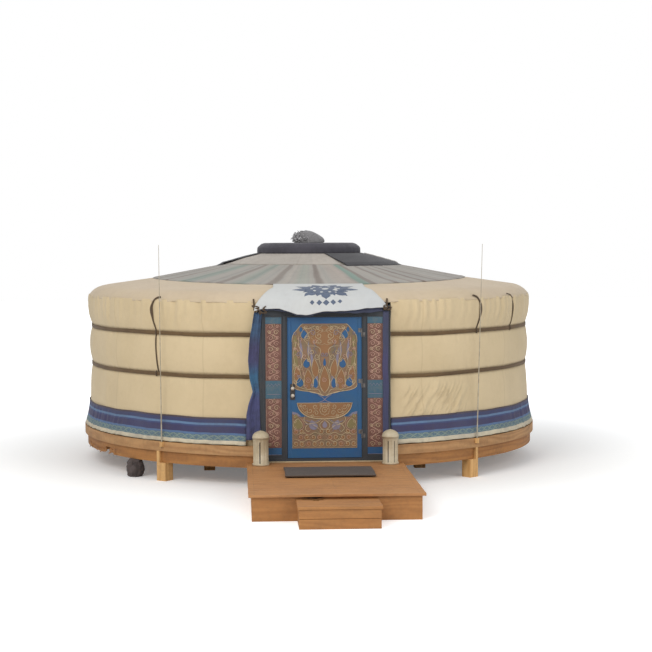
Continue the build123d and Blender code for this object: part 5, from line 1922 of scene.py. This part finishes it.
@dataclass
class Door:
    """The door's frame, sidelights and leaf, with their mouldings."""

    sidelight: tuple[float, float] = (0.550, 0.755)
    side_fields: tuple[tuple[float, float], ...] = ((0.493, 1.126), (1.356, 2.083))
    side_face: float = -3.1112
    frame_face: float = -3.1202
    rail_face: float = -3.1166
    lock_x: float = -0.410
    lock_z: float = 1.212
    ornament: LeafOrnament = field(default_factory=LeafOrnament)

    def vines(self) -> None:
        """Winds scrolling stems up the sidelight panels."""
        low_x, high_x = self.sidelight
        middle, reach = (low_x + high_x) / 2, (high_x - low_x) / 2 - 0.018
        lines: dict[str, list[Piece]] = {"rose_paint": [], "gold_paint": []}

        def draw(finish: str, path: Array, width: float, thickness: float) -> None:
            """Adds a line and its mirror."""
            lines[finish] += [stroke(side, self.side_face, width, thickness) for side in both(path)]

        for number, (low, high) in enumerate(self.side_fields):
            z = rows(low + 0.02, high - 0.02, 0.012)
            pitch = (high - low) / round((high - low) / 0.15)
            x = middle + 0.6 * reach * np.sin(2 * np.pi * (z - low) / pitch)
            draw("rose_paint", stacked(x, z), 0.0075, 0.0035)
            step = pitch / 2
            for place in range(int(round((high - low) / step))):
                up = low + step * (place + 0.5)
                side = 1 if place % 2 else -1
                finish = "rose_paint" if (place + number) % 3 else "gold_paint"
                for x, size, way in ((0.45 * side, 0.032, side), (-0.62 * side, 0.021, -side)):
                    draw(finish, spiral(middle + x * reach, up, size, 90 - 90 * way, 1.3, way), 0.006, 0.0034)
                leaf = drop(middle - side * 0.1 * reach, up + 0.25 * step, 0.026, 0.06, 0.01 * side)
                draw("gold_paint" if place % 2 else "rose_paint", ringed(leaf), 0.0045, 0.003)
            edge = oblong(low_x + 0.008, low + 0.008, high_x - 0.008, high - 0.008)
            draw("rose_paint", ringed(edge), 0.004, 0.0026)
        for finish, parts in lines.items():
            gather(f"sidelight_{finish}", parts, finish)

    def rail_marks(self) -> None:
        """Draws a straight and a stepped line along the sidelights' middle rails."""
        parts = []
        for z, size in ((1.30, 0.016), (1.18, 0.0)):
            x = rows(self.sidelight[0] + 0.012, self.sidelight[1] - 0.012, 0.0225)
            zig = z + size * np.where(np.arange(len(x)) % 2, 1, -1)
            parts += [stroke(path, -3.1158, 0.006, 0.0025) for path in both(stacked(x, zig))]
        gather("rail_marks", parts, "lilac_paint")

    def foot_rails(self) -> None:
        """Paints the sidelights' foot rails, with a pale line between the blue and the dark part."""
        first, last = self.sidelight[0] + 0.0008, self.sidelight[1] - 0.0008
        for name, finish, low, high in (
            ("sidelight_foot_rails", "leaf_paint", 0.4045, 0.4915),
            ("sidelight_plinths", "frame_paint", 0.3585, 0.4005),
        ):
            parts = [slab(side, self.rail_face, 0.0014) for side in both(oblong(first, low, last, high))]
            gather(name, parts, finish)
        line = np.array([(first + 0.002, 0.4045), (last - 0.002, 0.4045)])
        lines = [stroke(side, self.rail_face - 0.001, 0.012, 0.0025) for side in both(line)]
        gather("sidelight_foot_lines", lines, "lilac_paint")

    def threshold(self) -> None:
        """Lays a pale strip at the foot of the frame: a painted highlight along the sill's front edge."""
        corner, end = (-0.838, -3.146, 0.3056), (0.838, -3.1206, 0.3215)
        place = np.array([DOOR_X, 0.0, 0.0])
        # the strip's pale gold paint stands for the highlight on the sill's front edge
        dress(plank("threshold_highlight_strip", place + corner, place + end, 0, 371, 0.004), "gold_paint")

    def mouldings(self) -> None:
        """Lays beads along the posts, the head and the leaf's edge, and the leaf's foot board."""
        parts = []
        for x in (0.770, 0.800, 0.832, 0.536, 0.492):
            for path in both(stacked(x, np.array([0.365, 1.0, 1.6, 2.29]))):
                parts.append(stroke(path, self.frame_face - 0.0008, 0.008, 0.005))
        for z in (2.185, 2.30):
            parts.append(stroke(stacked(rows(-0.83, 0.83, 0.2), z), self.frame_face - 0.0012, 0.009, 0.005))
        gather("frame_beads", parts, "frame_paint")
        leaf = []
        for x in (0.428, 0.466):
            for path in both(stacked(x, np.array([0.375, 0.9, 1.5, 2.15]))):
                leaf.append(stroke(path, self.frame_face - 0.0006, 0.005, 0.003))
        gather("leaf_beads", leaf, "leaf_paint", body=LEAF)
        foot = oblong(-0.46, 0.366, 0.46, 0.452)
        dress(slab(foot, self.frame_face - 0.0016, name="leaf_foot_board"), "leaf_paint", body=LEAF)

    def lock(self) -> None:
        """Sets the knobs' plate with its screws."""
        low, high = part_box("door_knobs")
        x, angle = self.lock_x, turns(10)
        parts = []
        for z in (self.lock_z + 0.082, self.lock_z - 0.082):
            parts.append(slab(stacked(x + 0.005 * np.cos(angle), z + 0.005 * np.sin(angle)), -3.1252, 0.0012))
        gather("plate_screws", parts, "screw_steel", body=LEAF)
        plate = slab(oblong(x - 0.031, 1.11, x + 0.031, 1.314), -3.1248, 0.0046, "knob_plate")
        dress(plate, "plate_iron", body=LEAF)
        LOG.info("knobs from %.3f to %.3f m", low[2], high[2])

    def build(self) -> None:
        """Finishes the kept timber and adds the ornament."""
        dress_nodes(
            door_frame="frame_paint", sidelight_rails="rail_paint", sidelight_panels="side_panel_paint",
            door_leaf="leaf_paint", door_panels="panel_paint", door_knobs="knob_enamel",
            frame_hinges="hinge_steel", leaf_hinges="hinge_steel",
        )
        self.mouldings()
        self.vines()
        self.rail_marks()
        self.foot_rails()
        self.threshold()
        self.lock()
        self.ornament.build()


@dataclass
class Canopy:
    """The white cloth over the door, its appliqué medallion and the blue borders beside the frame."""

    top_half: float = 0.590
    foot_half: float = 0.842
    lift: float = 0.006  # over the eave
    fall: str = (  # share down the cloth, radius and height, all times 1000
        "0,2616,2571.5 200,2800,2545.5 380,2976,2519.5 470,3060,2500 555,3130,2468 630,3180,2434 "
        "700,3212,2398 780,3235,2352 890,3262,2290 1000,3288,2222"
    )
    foot: str = (  # height of the hem across it
        "-850,2236 -780,2262 -660,2272 -520,2268 -400,2232 -300,2198 -200,2190 -100,2206 20,2232 "
        "150,2238 300,2240 450,2252 600,2270 850,2282"
    )
    left_inner: str = (  # x of the left border's edges, by height
        "600,-765 950,-775 1200,-778 1380,-795 1620,-790 1900,-775 2232,-745"
    )
    left_outer: str = (
        "600,-955 750,-950 920,-950 1050,-925 1220,-868 1380,-905 1620,-925 1880,-905 2050,-872 2232,-842"
    )
    heart: tuple[float, float] = (0.068, 0.42)  # the medallion's middle

    def half_width(self, along: Array) -> Array:
        """Half of the cloth's width at a share down it."""
        return self.top_half + (self.foot_half - self.top_half) * smooth(along, 0.25, 1.0) ** 0.8

    def surface(self, across: Array, along: Array) -> Array:
        """Gives the face of the cloth.

        Args:
            across: -1 at the left edge to 1 at the right.
            along: 0 at the top to 1 at the foot.

        Returns:
            Its points.
        """
        line_t, line_r, line_z = spots(self.fall).T
        radius, height = np.interp(along, line_t, line_r), np.interp(along, line_t, line_z)
        spread = self.half_width(along) + 0.012 * (along - 0.5) * waves(along, 121, (0.5, 0.3))
        x = across * spread
        hang = read(x, self.foot)
        share = smooth(along, 0.68, 1.0)
        height = height + (hang - 2.222) * ((along - 0.68).clip(0) / 0.32)
        radius = radius + share * (0.014 * waves(x, 122, (0.62, 0.35)) - 0.028 * smooth(hang, 2.235, 2.28))
        fold = waves(x + 0.25 * along, 123, (0.55, 0.27, 0.16))
        lift = self.lift + 0.0045 * (1 + fold) * smooth(along, 0.05, 0.3)
        radius, height = radius + lift * smooth(along, 0.3, 0.7), height + lift
        radius = radius - 0.004 * hump(np.abs(across), 1, 0.05) * smooth(along, 0.1, 0.4)
        return bowed(x, radius, height)

    def cloth(self) -> None:
        """Lays the canopy's cloth and the dark blue lining that shows under its foot, whose dark colour also
        paints the shade under the canopy.
        """
        main = Cloth("canopy_cloth", self.surface(*grid(rows(-1, 1, 0.011), rows(0, 1, 0.017))), 0.0045)
        lay_cloth(main, "canopy_cloth", "draped", ["eave_canvas", "roof_canvas"], "door_canopy")
        # the lining's dark colour is partly its own blue and partly painted shade under the canopy's foot
        x, down = grid(rows(-0.78, 0.80, 0.02), rows(0, 1, 0.1))
        low = read(x, self.foot) - 0.012 - 0.032 * smooth(x, 0.2, 0.55) - 0.008 * waves(x, 131, (0.4, 0.19))
        radius = 3.232 + 0.02 * down - 0.012 * smooth(x, 0.5, 0.8) + 0.006 * waves(x, 132, (0.3, 0.17)) * down
        points = bowed(x, radius, 2.335 + (low - 2.335) * down)
        lay_cloth(Cloth("canopy_lining_and_shade", points, 0.003), "lining_and_shade_cloth", "hung", ["canopy_cloth"])

    def on_cloth(self, outline: Array, lift: float) -> Array:
        """Points over the canopy at places across and down it."""
        x, along = outline.T
        return self.surface(x / self.half_width(along), along) + np.array([0, -0.5, 0.85]) * lift

    def patch(self, outline: Array, lift: float = 0.0016) -> Piece:
        """Sews a thin shape on the canopy.

        Args:
            outline: Its corners as x and the share down the cloth.
            lift: Its height over the cloth.

        Returns:
            The new object.
        """
        middle = outline.mean(0)
        rings = [
            self.on_cloth(middle + (outline - middle) * share, height)
            for share, height in (
                (0.02, lift), (0.34, lift), (0.67, lift), (1.0, lift), (1.0, -0.001), (0.02, -0.001)
            )
        ]
        return loft("patch", np.stack(rings)[::-1])

    def medallion(self) -> None:
        """Sews on a rosette of lobes and rays, with a row of diamonds under it."""
        x, down = heart = np.array(self.heart)
        turn = turns(48)
        parts = [self.patch(stacked(x + 0.27 * np.cos(turn), down + 0.19 * np.sin(turn)))]
        for number in range(18):
            angle = 2 * np.pi * (number + 0.5) / 18
            way = np.array([np.cos(angle), np.sin(angle)])
            side = np.array([-way[1], way[0]])
            scale = np.array([0.43, 0.30]) * (1.0, 0.78)[number % 2]
            ray = ((0.55, -0.16), (0.78, -0.13), (1.0, 0.0), (0.78, 0.13), (0.55, 0.16))
            parts.append(self.patch(np.array([heart + (a * way + b * side) * scale for a, b in ray]), 0.0022))
        for left, along, size in spots("-110,775,1000 -20,795,1250 68,805,1450 158,795,1250 245,775,1000"):
            corners = ((-0.03 * size, 0), (0, -0.05 * size), (0.03 * size, 0), (0, 0.05 * size))
            parts.append(self.patch(np.array([(left + a, along + b) for a, b in corners])))
        gather("canopy_medallion", parts, "emblem_cloth")
        pale = []
        for number in range(10):
            angle = 2 * np.pi * number / 10
            place = x + 0.17 * np.cos(angle), down + 0.125 * np.sin(angle)
            eye = stacked(place[0] + 0.02 * np.cos(turn[::6]), place[1] + 0.018 * np.sin(turn[::6]))
            pale.append(self.patch(eye, 0.0034))
        pale.append(self.patch(stacked(x + 0.045 * np.cos(turn[::3]), down + 0.04 * np.sin(turn[::3])), 0.0034))
        gather("canopy_medallion_eyes", pale, "canopy_cloth")

    def knots(self) -> None:
        """Ties the cloth's two lower corners with brown straps."""
        parts = []
        draw = np.random.RandomState(141)
        for x, z, count in ((-0.80, 2.27, 5), (-0.74, 2.262, 3), (0.845, 2.31, 3)):
            for _ in range(count):
                start = np.array([x + draw.uniform(-0.03, 0.03), -3.2, z + draw.uniform(-0.02, 0.03)])
                start[1] = -math.sqrt(3.268**2 - start[0] ** 2)
                knots = [start]
                for _ in range(3):
                    shift = draw.uniform(-0.05, 0.05), draw.uniform(-0.012, 0.012), draw.uniform(-0.05, 0.03)
                    knots.append(start + np.array(shift))
                path = curve(np.array(knots)[:, [0, 2]], 6)
                y = start[1] + 0.006 * np.sin(np.linspace(0, 6, len(path)))
                parts.append(tube("tie", stacked(path[:, 0], y, path[:, 1]), 0.008, 6))
        for x, way in ((-0.855, 1), (0.86, -1)):
            z = rows(2.40, 2.255, 0.015)
            path = bowed(x + way * 0.012 * np.sin(9 * z), read(z, "2250,3256 2360,3228 2400,3214"), z)
            parts.append(strap("edge_tie", path, FRONT, 0.022, 0.006))
        gather("canopy_ties", parts, "strap_webbing")

    def borders(self) -> None:
        """Hangs the loose left border and the narrow right one."""
        share, z = grid(even(25), rows(2.232, 0.60, 0.02))
        outer, inner = read(z, self.left_outer), read(z, self.left_inner)
        x = outer + (inner - outer) * share
        folds = 0.026 * (1 + waves(share * 0.3 + 0.06 * z, 151, (0.19, 0.11))) / 2
        depth = 0.004 + folds + 0.012 * hump(share, 0.2 + 0.15 * np.sin(5 * z), 0.15)
        left = Cloth("left_border_cloth", stacked(x, -3.1215 - depth, z), 0.004)
        lay_cloth(left, "border_cloth", "hung", ["door_frame"], "door_borders")
        share, z = grid(even(9), rows(2.24, 0.62, 0.03))
        x = 0.797 + 0.074 * share + 0.005 * waves(z, 152, (0.9, 0.5))
        y = -3.1225 - 0.006 * (1 + waves(z + share, 153, (0.6, 0.33))) / 2
        cloth = Cloth("right_border_cloth", stacked(x, y, z), 0.004)
        lay_cloth(cloth, "right_border_cloth", "hung", ["door_frame"])

    def build(self) -> None:
        """Makes the canopy and what goes with it."""
        self.cloth()
        self.medallion()
        self.knots()
        self.borders()


# ---------------------------------------------------------------- platform and porch
@dataclass
class Platform:
    """The round deck: its floor boards, its stone, its splinters and the finishes of its timber."""

    floor_radius: float = 3.181
    door_edge: float = -3.148
    door_half: float = 0.845
    top: float = 0.305
    thickness: float = 0.03
    board: float = 0.142
    gap: float = 0.001  # on each side of a board
    stone_bearing: float = -49.0
    stone_radius: float = 3.224
    stone_rings: str = "0,85 30,105 80,120 140,124 190,112 225,98 239.7,85"  # height and reach

    def ends(self, x: float) -> tuple[float, float]:
        """Where a floor board at x starts and stops."""
        reach = math.sqrt(max(self.floor_radius**2 - x * x, 0.0001))
        return self.door_edge if abs(x - DOOR_X) < self.door_half else max(-reach, self.door_edge), reach

    def floor(self) -> None:
        """Lays the floor in boards that run from the door to the back."""
        parts = []
        most, low_z, gap = self.floor_radius - 0.001, self.top - self.thickness, self.gap
        edges = np.clip(np.arange(-22.5, 23.5) * self.board, -most, most)
        for seed, (low, high) in enumerate(zip(edges, edges[1:]), 200):
            if high - low >= 0.02:
                corners = (low + gap, 0, low_z), (high - gap, 0, self.top)
                parts.append(plank("board", *corners, 1, seed, outline=self.ends))
        gather("floor_boards", parts, "floor_pine", "floor")

    def stone(self) -> None:
        """Stands a rough stone under the rim."""
        draw = np.random.RandomState(211)
        x, y, _ = around(self.stone_bearing, self.stone_radius, 0.0)
        levels, reaches = spots(self.stone_rings).T
        rings = []
        for level, size in zip(levels, reaches):
            reach = size * (1 + draw.uniform(-0.14, 0.1, 13))
            ring = hoop(x, y, level, reach, turns(13))
            if 0 < level < levels[-1]:
                ring[:, 2] += draw.uniform(-0.012, 0.012, 13)
            rings.append(ring)
        dress(loft("stone_block", np.stack(rings), flat=True), "pier_stone", "stone_pier")

    def splinters(self) -> None:
        """Tears slivers off the lower rim, round its broken stretch."""
        draw = np.random.RandomState(221)
        parts = []
        share = even(7)
        for bearing in np.arange(-76.0, -56.0, 1.6):
            length, fall = draw.uniform(0.1, 0.24), draw.uniform(0.025, 0.06)
            sweep = bearing + np.degrees(length / 3.24) * share * draw.choice([-1, 1])
            out = 3.2465 + 0.003 * draw.uniform(0, 1) + 0.003 * share
            z = 0.272 + draw.uniform(-0.006, 0.03) - fall * share**1.4
            width = draw.uniform(0.03, 0.055) * (1 - 0.92 * share**1.3)
            parts.append(strap("sliver", around(sweep, out, z), outward(sweep), width, 0.007))
        gather("rim_slivers", parts, "lower_rim_pine")

    def build(self) -> None:
        """Makes the platform."""
        self.floor()
        self.stone()
        self.splinters()
        dress_nodes(
            upper_rim="rim_pine", lower_rim="lower_rim_pine", deck_joists="deck_pine", deck_bearers="deck_pine",
            deck_posts="deck_pine", inner_posts="deck_pine", pole_sockets="deck_pine",
            side_poles="side_pole_wood",
        )


@dataclass
class Porch:
    """The porch's boards, its step, doormat and bollards."""

    half_width: float = 1.0
    panel_half: float = 0.96
    front: float = -5.628
    back: float = -3.148
    top: float = 0.305
    board: float = 0.03
    boards: int = 15
    rest: float = 0.0003  # between boards that lie on each other
    panel_front: float = -5.588
    step_half: float = 0.465
    step_front: float = -6.104
    step_top: float = 0.25
    step_joint: float = 0.112  # height of the joint between the two front boards
    splinter: tuple[float, float, float] = (-0.222, 0.140, 0.125)  # x, half length and depth
    mat: tuple[float, float] = (1.09, 0.74)
    mat_back: float = -3.69
    bollard_x: float = 0.822
    bollard_y: float = -3.326
    bollard_radius: float = 0.098
    bollard_foot: float = 0.3053
    shaft: str = "0,0 0,12 22,16 26,0 310,0 318,8 343.5,8"  # height and how far it stands out
    dome: str = "0,930 2,975 200,975 240,945 300,945 480,880 660,740 820,530 930,300 1000,70"  # shares
    dome_foot: float = 0.6493
    dome_height: float = 0.096
    dome_radius: float = 0.111

    def deck(self) -> None:
        """Lays the porch's boards across it, screwed at each side."""
        parts, screws = [], []
        edges = np.linspace(self.front, self.back, self.boards + 1)
        for seed, (low, high) in enumerate(zip(edges, edges[1:]), 300):
            draw = np.random.RandomState(seed)
            left, right, lift = draw.uniform(0, 0.004), draw.uniform(0, 0.004), draw.uniform(0, 0.001)
            first = low if low == self.front else low + 0.0022
            corner = (DOOR_X - self.half_width + left, first, self.top - self.board)
            end = (DOOR_X + self.half_width - right, high - 0.0022, self.top - lift)
            parts.append(plank("board", corner, end, 0, seed, bevel=0.004))
            for x in (-0.93, 0.0, 0.93):
                for share in (0.28, 0.72):
                    y = low + (high - low) * share
                    rings = [hoop(DOOR_X + x, y, z, 0.0045, turns(8)) for z in (0.3025, 0.3052)]
                    screws.append(loft("screw", np.stack(rings), flat=True))
        gather("porch_deck_boards", parts, "porch_pine", "porch_boards")
        gather("porch_screws", screws, "screw_steel")

    def bitten(self, depth: float, seed: int, count: int, low: float, high: float) -> tuple[Array, Array]:
        """A half-round bite with a ragged edge.

        Args:
            depth: At its middle.
            seed: Of its ragged edge.
            count: Of its points.
            low: Least change of its depth.
            high: Greatest change of its depth.

        Returns:
            The places along it, right to left, and the depth at each.
        """
        place, reach, _ = self.splinter
        share = np.linspace(1, -1, count)
        ragged = np.random.RandomState(seed).uniform(low, high, count)
        return place + reach * share, depth * np.sqrt(np.clip(1 - share**2, 0, 1)) * (1 + ragged)

    def skirt_boards(self) -> None:
        """Closes the porch's front and sides with wide boards, the front one torn above the step."""
        half, high = self.panel_half, self.top - self.board - self.rest
        x, depth = self.bitten(high - self.step_top - 0.0006, 333, 17, 0, -0.3)
        notch = stacked(x - DOOR_X, high - depth)
        outline = np.vstack([oblong(-half, 0, half, high)[:3], notch, [(-half, high)]])
        parts = [slab(outline, self.panel_front, self.board)]
        start = self.panel_front + self.board + 0.0006
        for seed, x in ((335, DOOR_X - half), (336, DOOR_X + half - self.board)):
            parts.append(plank("side", (x, start, 0.0), (x + self.board, self.back, high), 1, seed, 0.002))
        gather("porch_skirt_boards", parts, "panel_pine", "porch_panels")
        # a dark board inside the porch behind the tear, in the slit_shadow finish: painted shade that shows
        # through the tear
        behind = self.panel_front + 2 * self.board
        place = self.splinter[0]
        corners = (place - 0.24, behind, 0.0), (place + 0.20, behind + 0.02, high)
        dress(plank("porch_shade_board", *corners, 0, 334, 0.002), "slit_shadow")
        dress_nodes(porch_frame="deck_pine")

    def step_case(self) -> None:
        """Makes the step's front in two boards, its sides, and its back with a gap under the splinter."""
        half = self.step_half - self.board / 2
        left, right, board = DOOR_X - half, DOOR_X + half, self.board
        back, front = self.panel_front - self.rest, self.step_front
        middle, high = self.step_joint, self.step_top - board - self.rest
        place, reach, _ = self.splinter
        inside, gap = board + 0.001, reach + 0.01
        parts = [
            plank("board", low, end, grain, seed, bevel)
            for low, end, grain, seed, bevel in (
                ((left, front, 0.0), (right, front + board, middle - 0.0015), 0, 341, 0.004),
                ((left, front + 0.001, middle + 0.0015), (right, front + board, high), 0, 342, 0.004),
                ((left, front + board + 0.0005, 0.0), (left + board, back, high), 1, 345, 0.002),
                ((right - board, front + board + 0.0005, 0.0), (right, back, high), 1, 345, 0.002),
                ((left + inside, back - board, 0.0), (place - gap, back, high), 0, 347, 0.002),
                ((place + gap, back - board, 0.0), (right - inside, back, high), 0, 348, 0.002),
            )
        ]
        gather("step_case", parts, "panel_pine", "step_box")

    def step_treads(self) -> None:
        """Lays the step's three treads, the last with a splinter gone."""
        treads = []
        low_z, high_z = self.step_top - self.board, self.step_top
        edges = np.linspace(self.step_front - self.board / 2, self.panel_front - self.rest, 4)
        left, right = DOOR_X - self.step_half, DOOR_X + self.step_half
        for number, (low, high) in enumerate(zip(edges, edges[1:])):
            flat = oblong(left, low + 0.0015, right, high - 0.0015)
            middle = flat.mean(0)
            if number == 2:
                x, depth = self.bitten(self.splinter[2], 351, 21, -0.35, 0.25)
                notch = stacked(x, high - 0.0015 - depth)
                flat, middle = np.vstack([flat[:3], notch, flat[3:]]), np.array([DOOR_X, (low + high) / 2])
            rings = []
            for z, inset in ((low_z, 0.0), (high_z - 0.004, 0.0), (high_z, 0.003)):
                moved = flat + inset * np.sign(middle - flat) * (np.abs(middle - flat) > 0.06)
                rings.append(stacked(*moved.T, z))
            treads.append(loft("tread", np.stack(rings), flat=True))
        gather("step_treads", treads, "panel_pine", "step_tread")

    def doormat(self) -> None:
        """Lays the doormat on the porch, slightly rucked."""
        width, depth = self.mat
        across = rows(DOOR_X - width / 2, DOOR_X + width / 2, 0.02)
        x, y = grid(across, rows(self.mat_back, self.mat_back - depth, 0.02))
        z = 0.3195 + 0.0012 * (1 + waves(x + 0.4 * y, 361, (0.53, 0.31))) / 2
        points = stacked(x + 0.003 * waves(y, 362, (0.7,)), y + 0.004 * waves(x, 363, (1.1,)), z)
        cloth = Cloth("doormat_cloth", points, 0.012)
        lay_cloth(cloth, "mat_fibre", "laid", ["porch_deck_boards"], "doormat", fullness=1.0)

    def bollards(self) -> None:
        """Turns the two bollards, fluted below and domed on top."""
        bodies, caps, slits = [], [], []
        turn, y = turns(96), self.bollard_y
        fluted = 0.007 * np.abs(np.sin(6 * turn)) ** 0.4 - 0.007
        for side, cuts in ((-1, ((-8, 0.013),)), (1, ((-22, 0.011), (26, 0.005)))):
            x = DOOR_X + side * self.bollard_x
            rings = []
            for rise, out in spots(self.shaft):
                flute = fluted if 0.02 < rise < 0.315 and out <= 0.01 else 0.0
                reach = self.bollard_radius + out * 0.6 + flute
                rings.append(hoop(x, y, self.bollard_foot + rise, reach, turn))
            bodies.append(loft("body", np.stack(rings)))
            rings = []
            for rise, out in spots(self.dome):
                rings.append(hoop(x, y, self.dome_foot + self.dome_height * rise, self.dome_radius * out, turn))
            caps.append(loft("cap", np.stack(rings)))
            for bearing, width in cuts:
                z = rows(self.bollard_foot + 0.03, self.bollard_foot + 0.30, 0.09)
                path = around(bearing, self.bollard_radius - 0.0008, z) + np.array([x, y, 0.0])
                slits.append(strap("slit", path, outward(bearing), width, 0.003))
        gather("bollard_bodies", bodies, "bollard_enamel", "bollards")
        gather("bollard_domes", caps, "bollard_enamel", "bollard_caps")
        gather("bollard_slits", slits, "slit_shadow")

    def build(self) -> None:
        """Makes the porch."""
        self.deck()
        self.skirt_boards()
        self.step_case()
        self.step_treads()
        self.doormat()
        self.bollards()


# ---------------------------------------------------------------- studio
def set_up(name: str, data: bpy.types.ID, place: Sequence[float], turn: Sequence[float]) -> Piece:
    """Puts a lamp or a camera in the scene.

    Args:
        name: Of the object.
        data: The lamp or the camera.
        place: Where it stands.
        turn: Its rotation about x, y and z.

    Returns:
        The new object.
    """
    item = link(data, name)
    item.location, item.rotation_euler = place, turn
    return item


@dataclass
class Studio:
    """The pale floor, the soft lights and the camera."""

    camera_place: tuple[float, float, float] = (-1.0409, -22.5136, 3.1133)
    pitch: float = -0.0546
    yaw: float = -0.0575
    roll: float = 0.0033
    lens: float = 84.24
    floor_half: float = 60.0
    floor_colour: Colour = (0.93, 0.93, 0.92, 1.0)
    white: Colour = (1.0, 1.0, 1.0, 1.0)
    sky_colour: Colour = (0.86, 0.89, 0.94, 1.0)
    lit_from: tuple[float, float, float] = (0.0, -0.5, 1.4)  # the place that the lamps face

    def floor(self) -> None:
        """Lays the floor that the yurt stands on, which glows to white far out."""
        half = self.floor_half
        corners = stacked(*oblong(-half, -half, half, half).T, 0.0)
        plane = mesh_object("studio_floor", corners, [(0, 1, 2, 3)])
        material = bpy.data.materials.new("studio_floor")
        material.use_nodes = True
        inputs = material.node_tree.nodes["Principled BSDF"].inputs
        g = Graph(material.node_tree)
        glow = g.span(g.away(), 3.0, 10.5, 0.16, 1.0)
        shown = g.add("ShaderNodeLightPath").outputs["Is Camera Ray"]
        for label, value in (
            ("Base Color", self.floor_colour), ("Roughness", 0.9),
            ("Emission Color", self.white), ("Emission Strength", g.times(glow, shown)),
        ):
            g.wire(value, inputs[label])
        plane.data.materials.append(material)

    def light(
        self, name: str, place: Sequence[float], size: float, power: float, colour: Sequence[float]
    ) -> None:
        """Hangs a square soft light that faces the yurt.

        Args:
            name: Of the light.
            place: Where it hangs.
            size: Its side in metres.
            power: In watts.
            colour: Its red, green and blue.
        """
        data = bpy.data.lights.new(name, "AREA")
        data.size, data.energy, data.color = size, power, colour
        way = Vector(self.lit_from) - Vector(place)
        set_up(name, data, place, way.to_track_quat("-Z", "Y").to_euler())

    def sky(self) -> None:
        """Lights the scene evenly from all round, and shows the camera a white background."""
        world = bpy.context.scene.world = bpy.data.worlds.new("studio")
        world.use_nodes = True
        g = Graph(world.node_tree)
        background = world.node_tree.nodes["Background"].inputs
        path = g.add("ShaderNodeLightPath").outputs
        shown = g.maths("MAXIMUM", path["Is Camera Ray"], path["Is Glossy Ray"])
        shown = g.maths("MAXIMUM", shown, path["Is Transmission Ray"])
        g.wire(g.mix(shown, self.sky_colour, self.white), background["Color"])
        g.wire(g.span(shown, 0.0, 1.0, 0.48, 1.0), background["Strength"])

    def camera(self) -> None:
        """Sets the camera."""
        data = bpy.data.cameras.new("camera")
        data.lens, data.sensor_width, data.clip_end = self.lens, 36.0, 300.0
        turn = (math.pi / 2 + self.pitch, self.roll, self.yaw)
        bpy.context.scene.camera = set_up("camera", data, self.camera_place, turn)

    def build(self) -> None:
        """Sets up the studio."""
        self.floor()
        self.sky()
        self.camera()
        self.light("key", (-7.5, -15.0, 11.0), 9.0, 1420.0, (1.0, 0.98, 0.95))
        self.light("fill", (11.0, -13.0, 7.0), 9.0, 650.0, (0.98, 0.98, 0.98))
        self.light("top", (0.0, 3.0, 14.0), 10.0, 330.0, (1.0, 0.99, 0.97))
        bpy.context.scene.view_settings.view_transform = "Standard"


def main() -> None:
    """Builds the yurt in order."""
    logging.basicConfig(level=logging.INFO, format="%(name)s: %(message)s", stream=sys.stdout)
    for part in (Platform(), Wall(), Roof(), Door(), Canopy(), Porch(), Studio()):
        LOG.info("build %s", type(part).__name__.lower())
        part.build()
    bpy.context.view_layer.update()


if __name__ == "__main__":
    main()
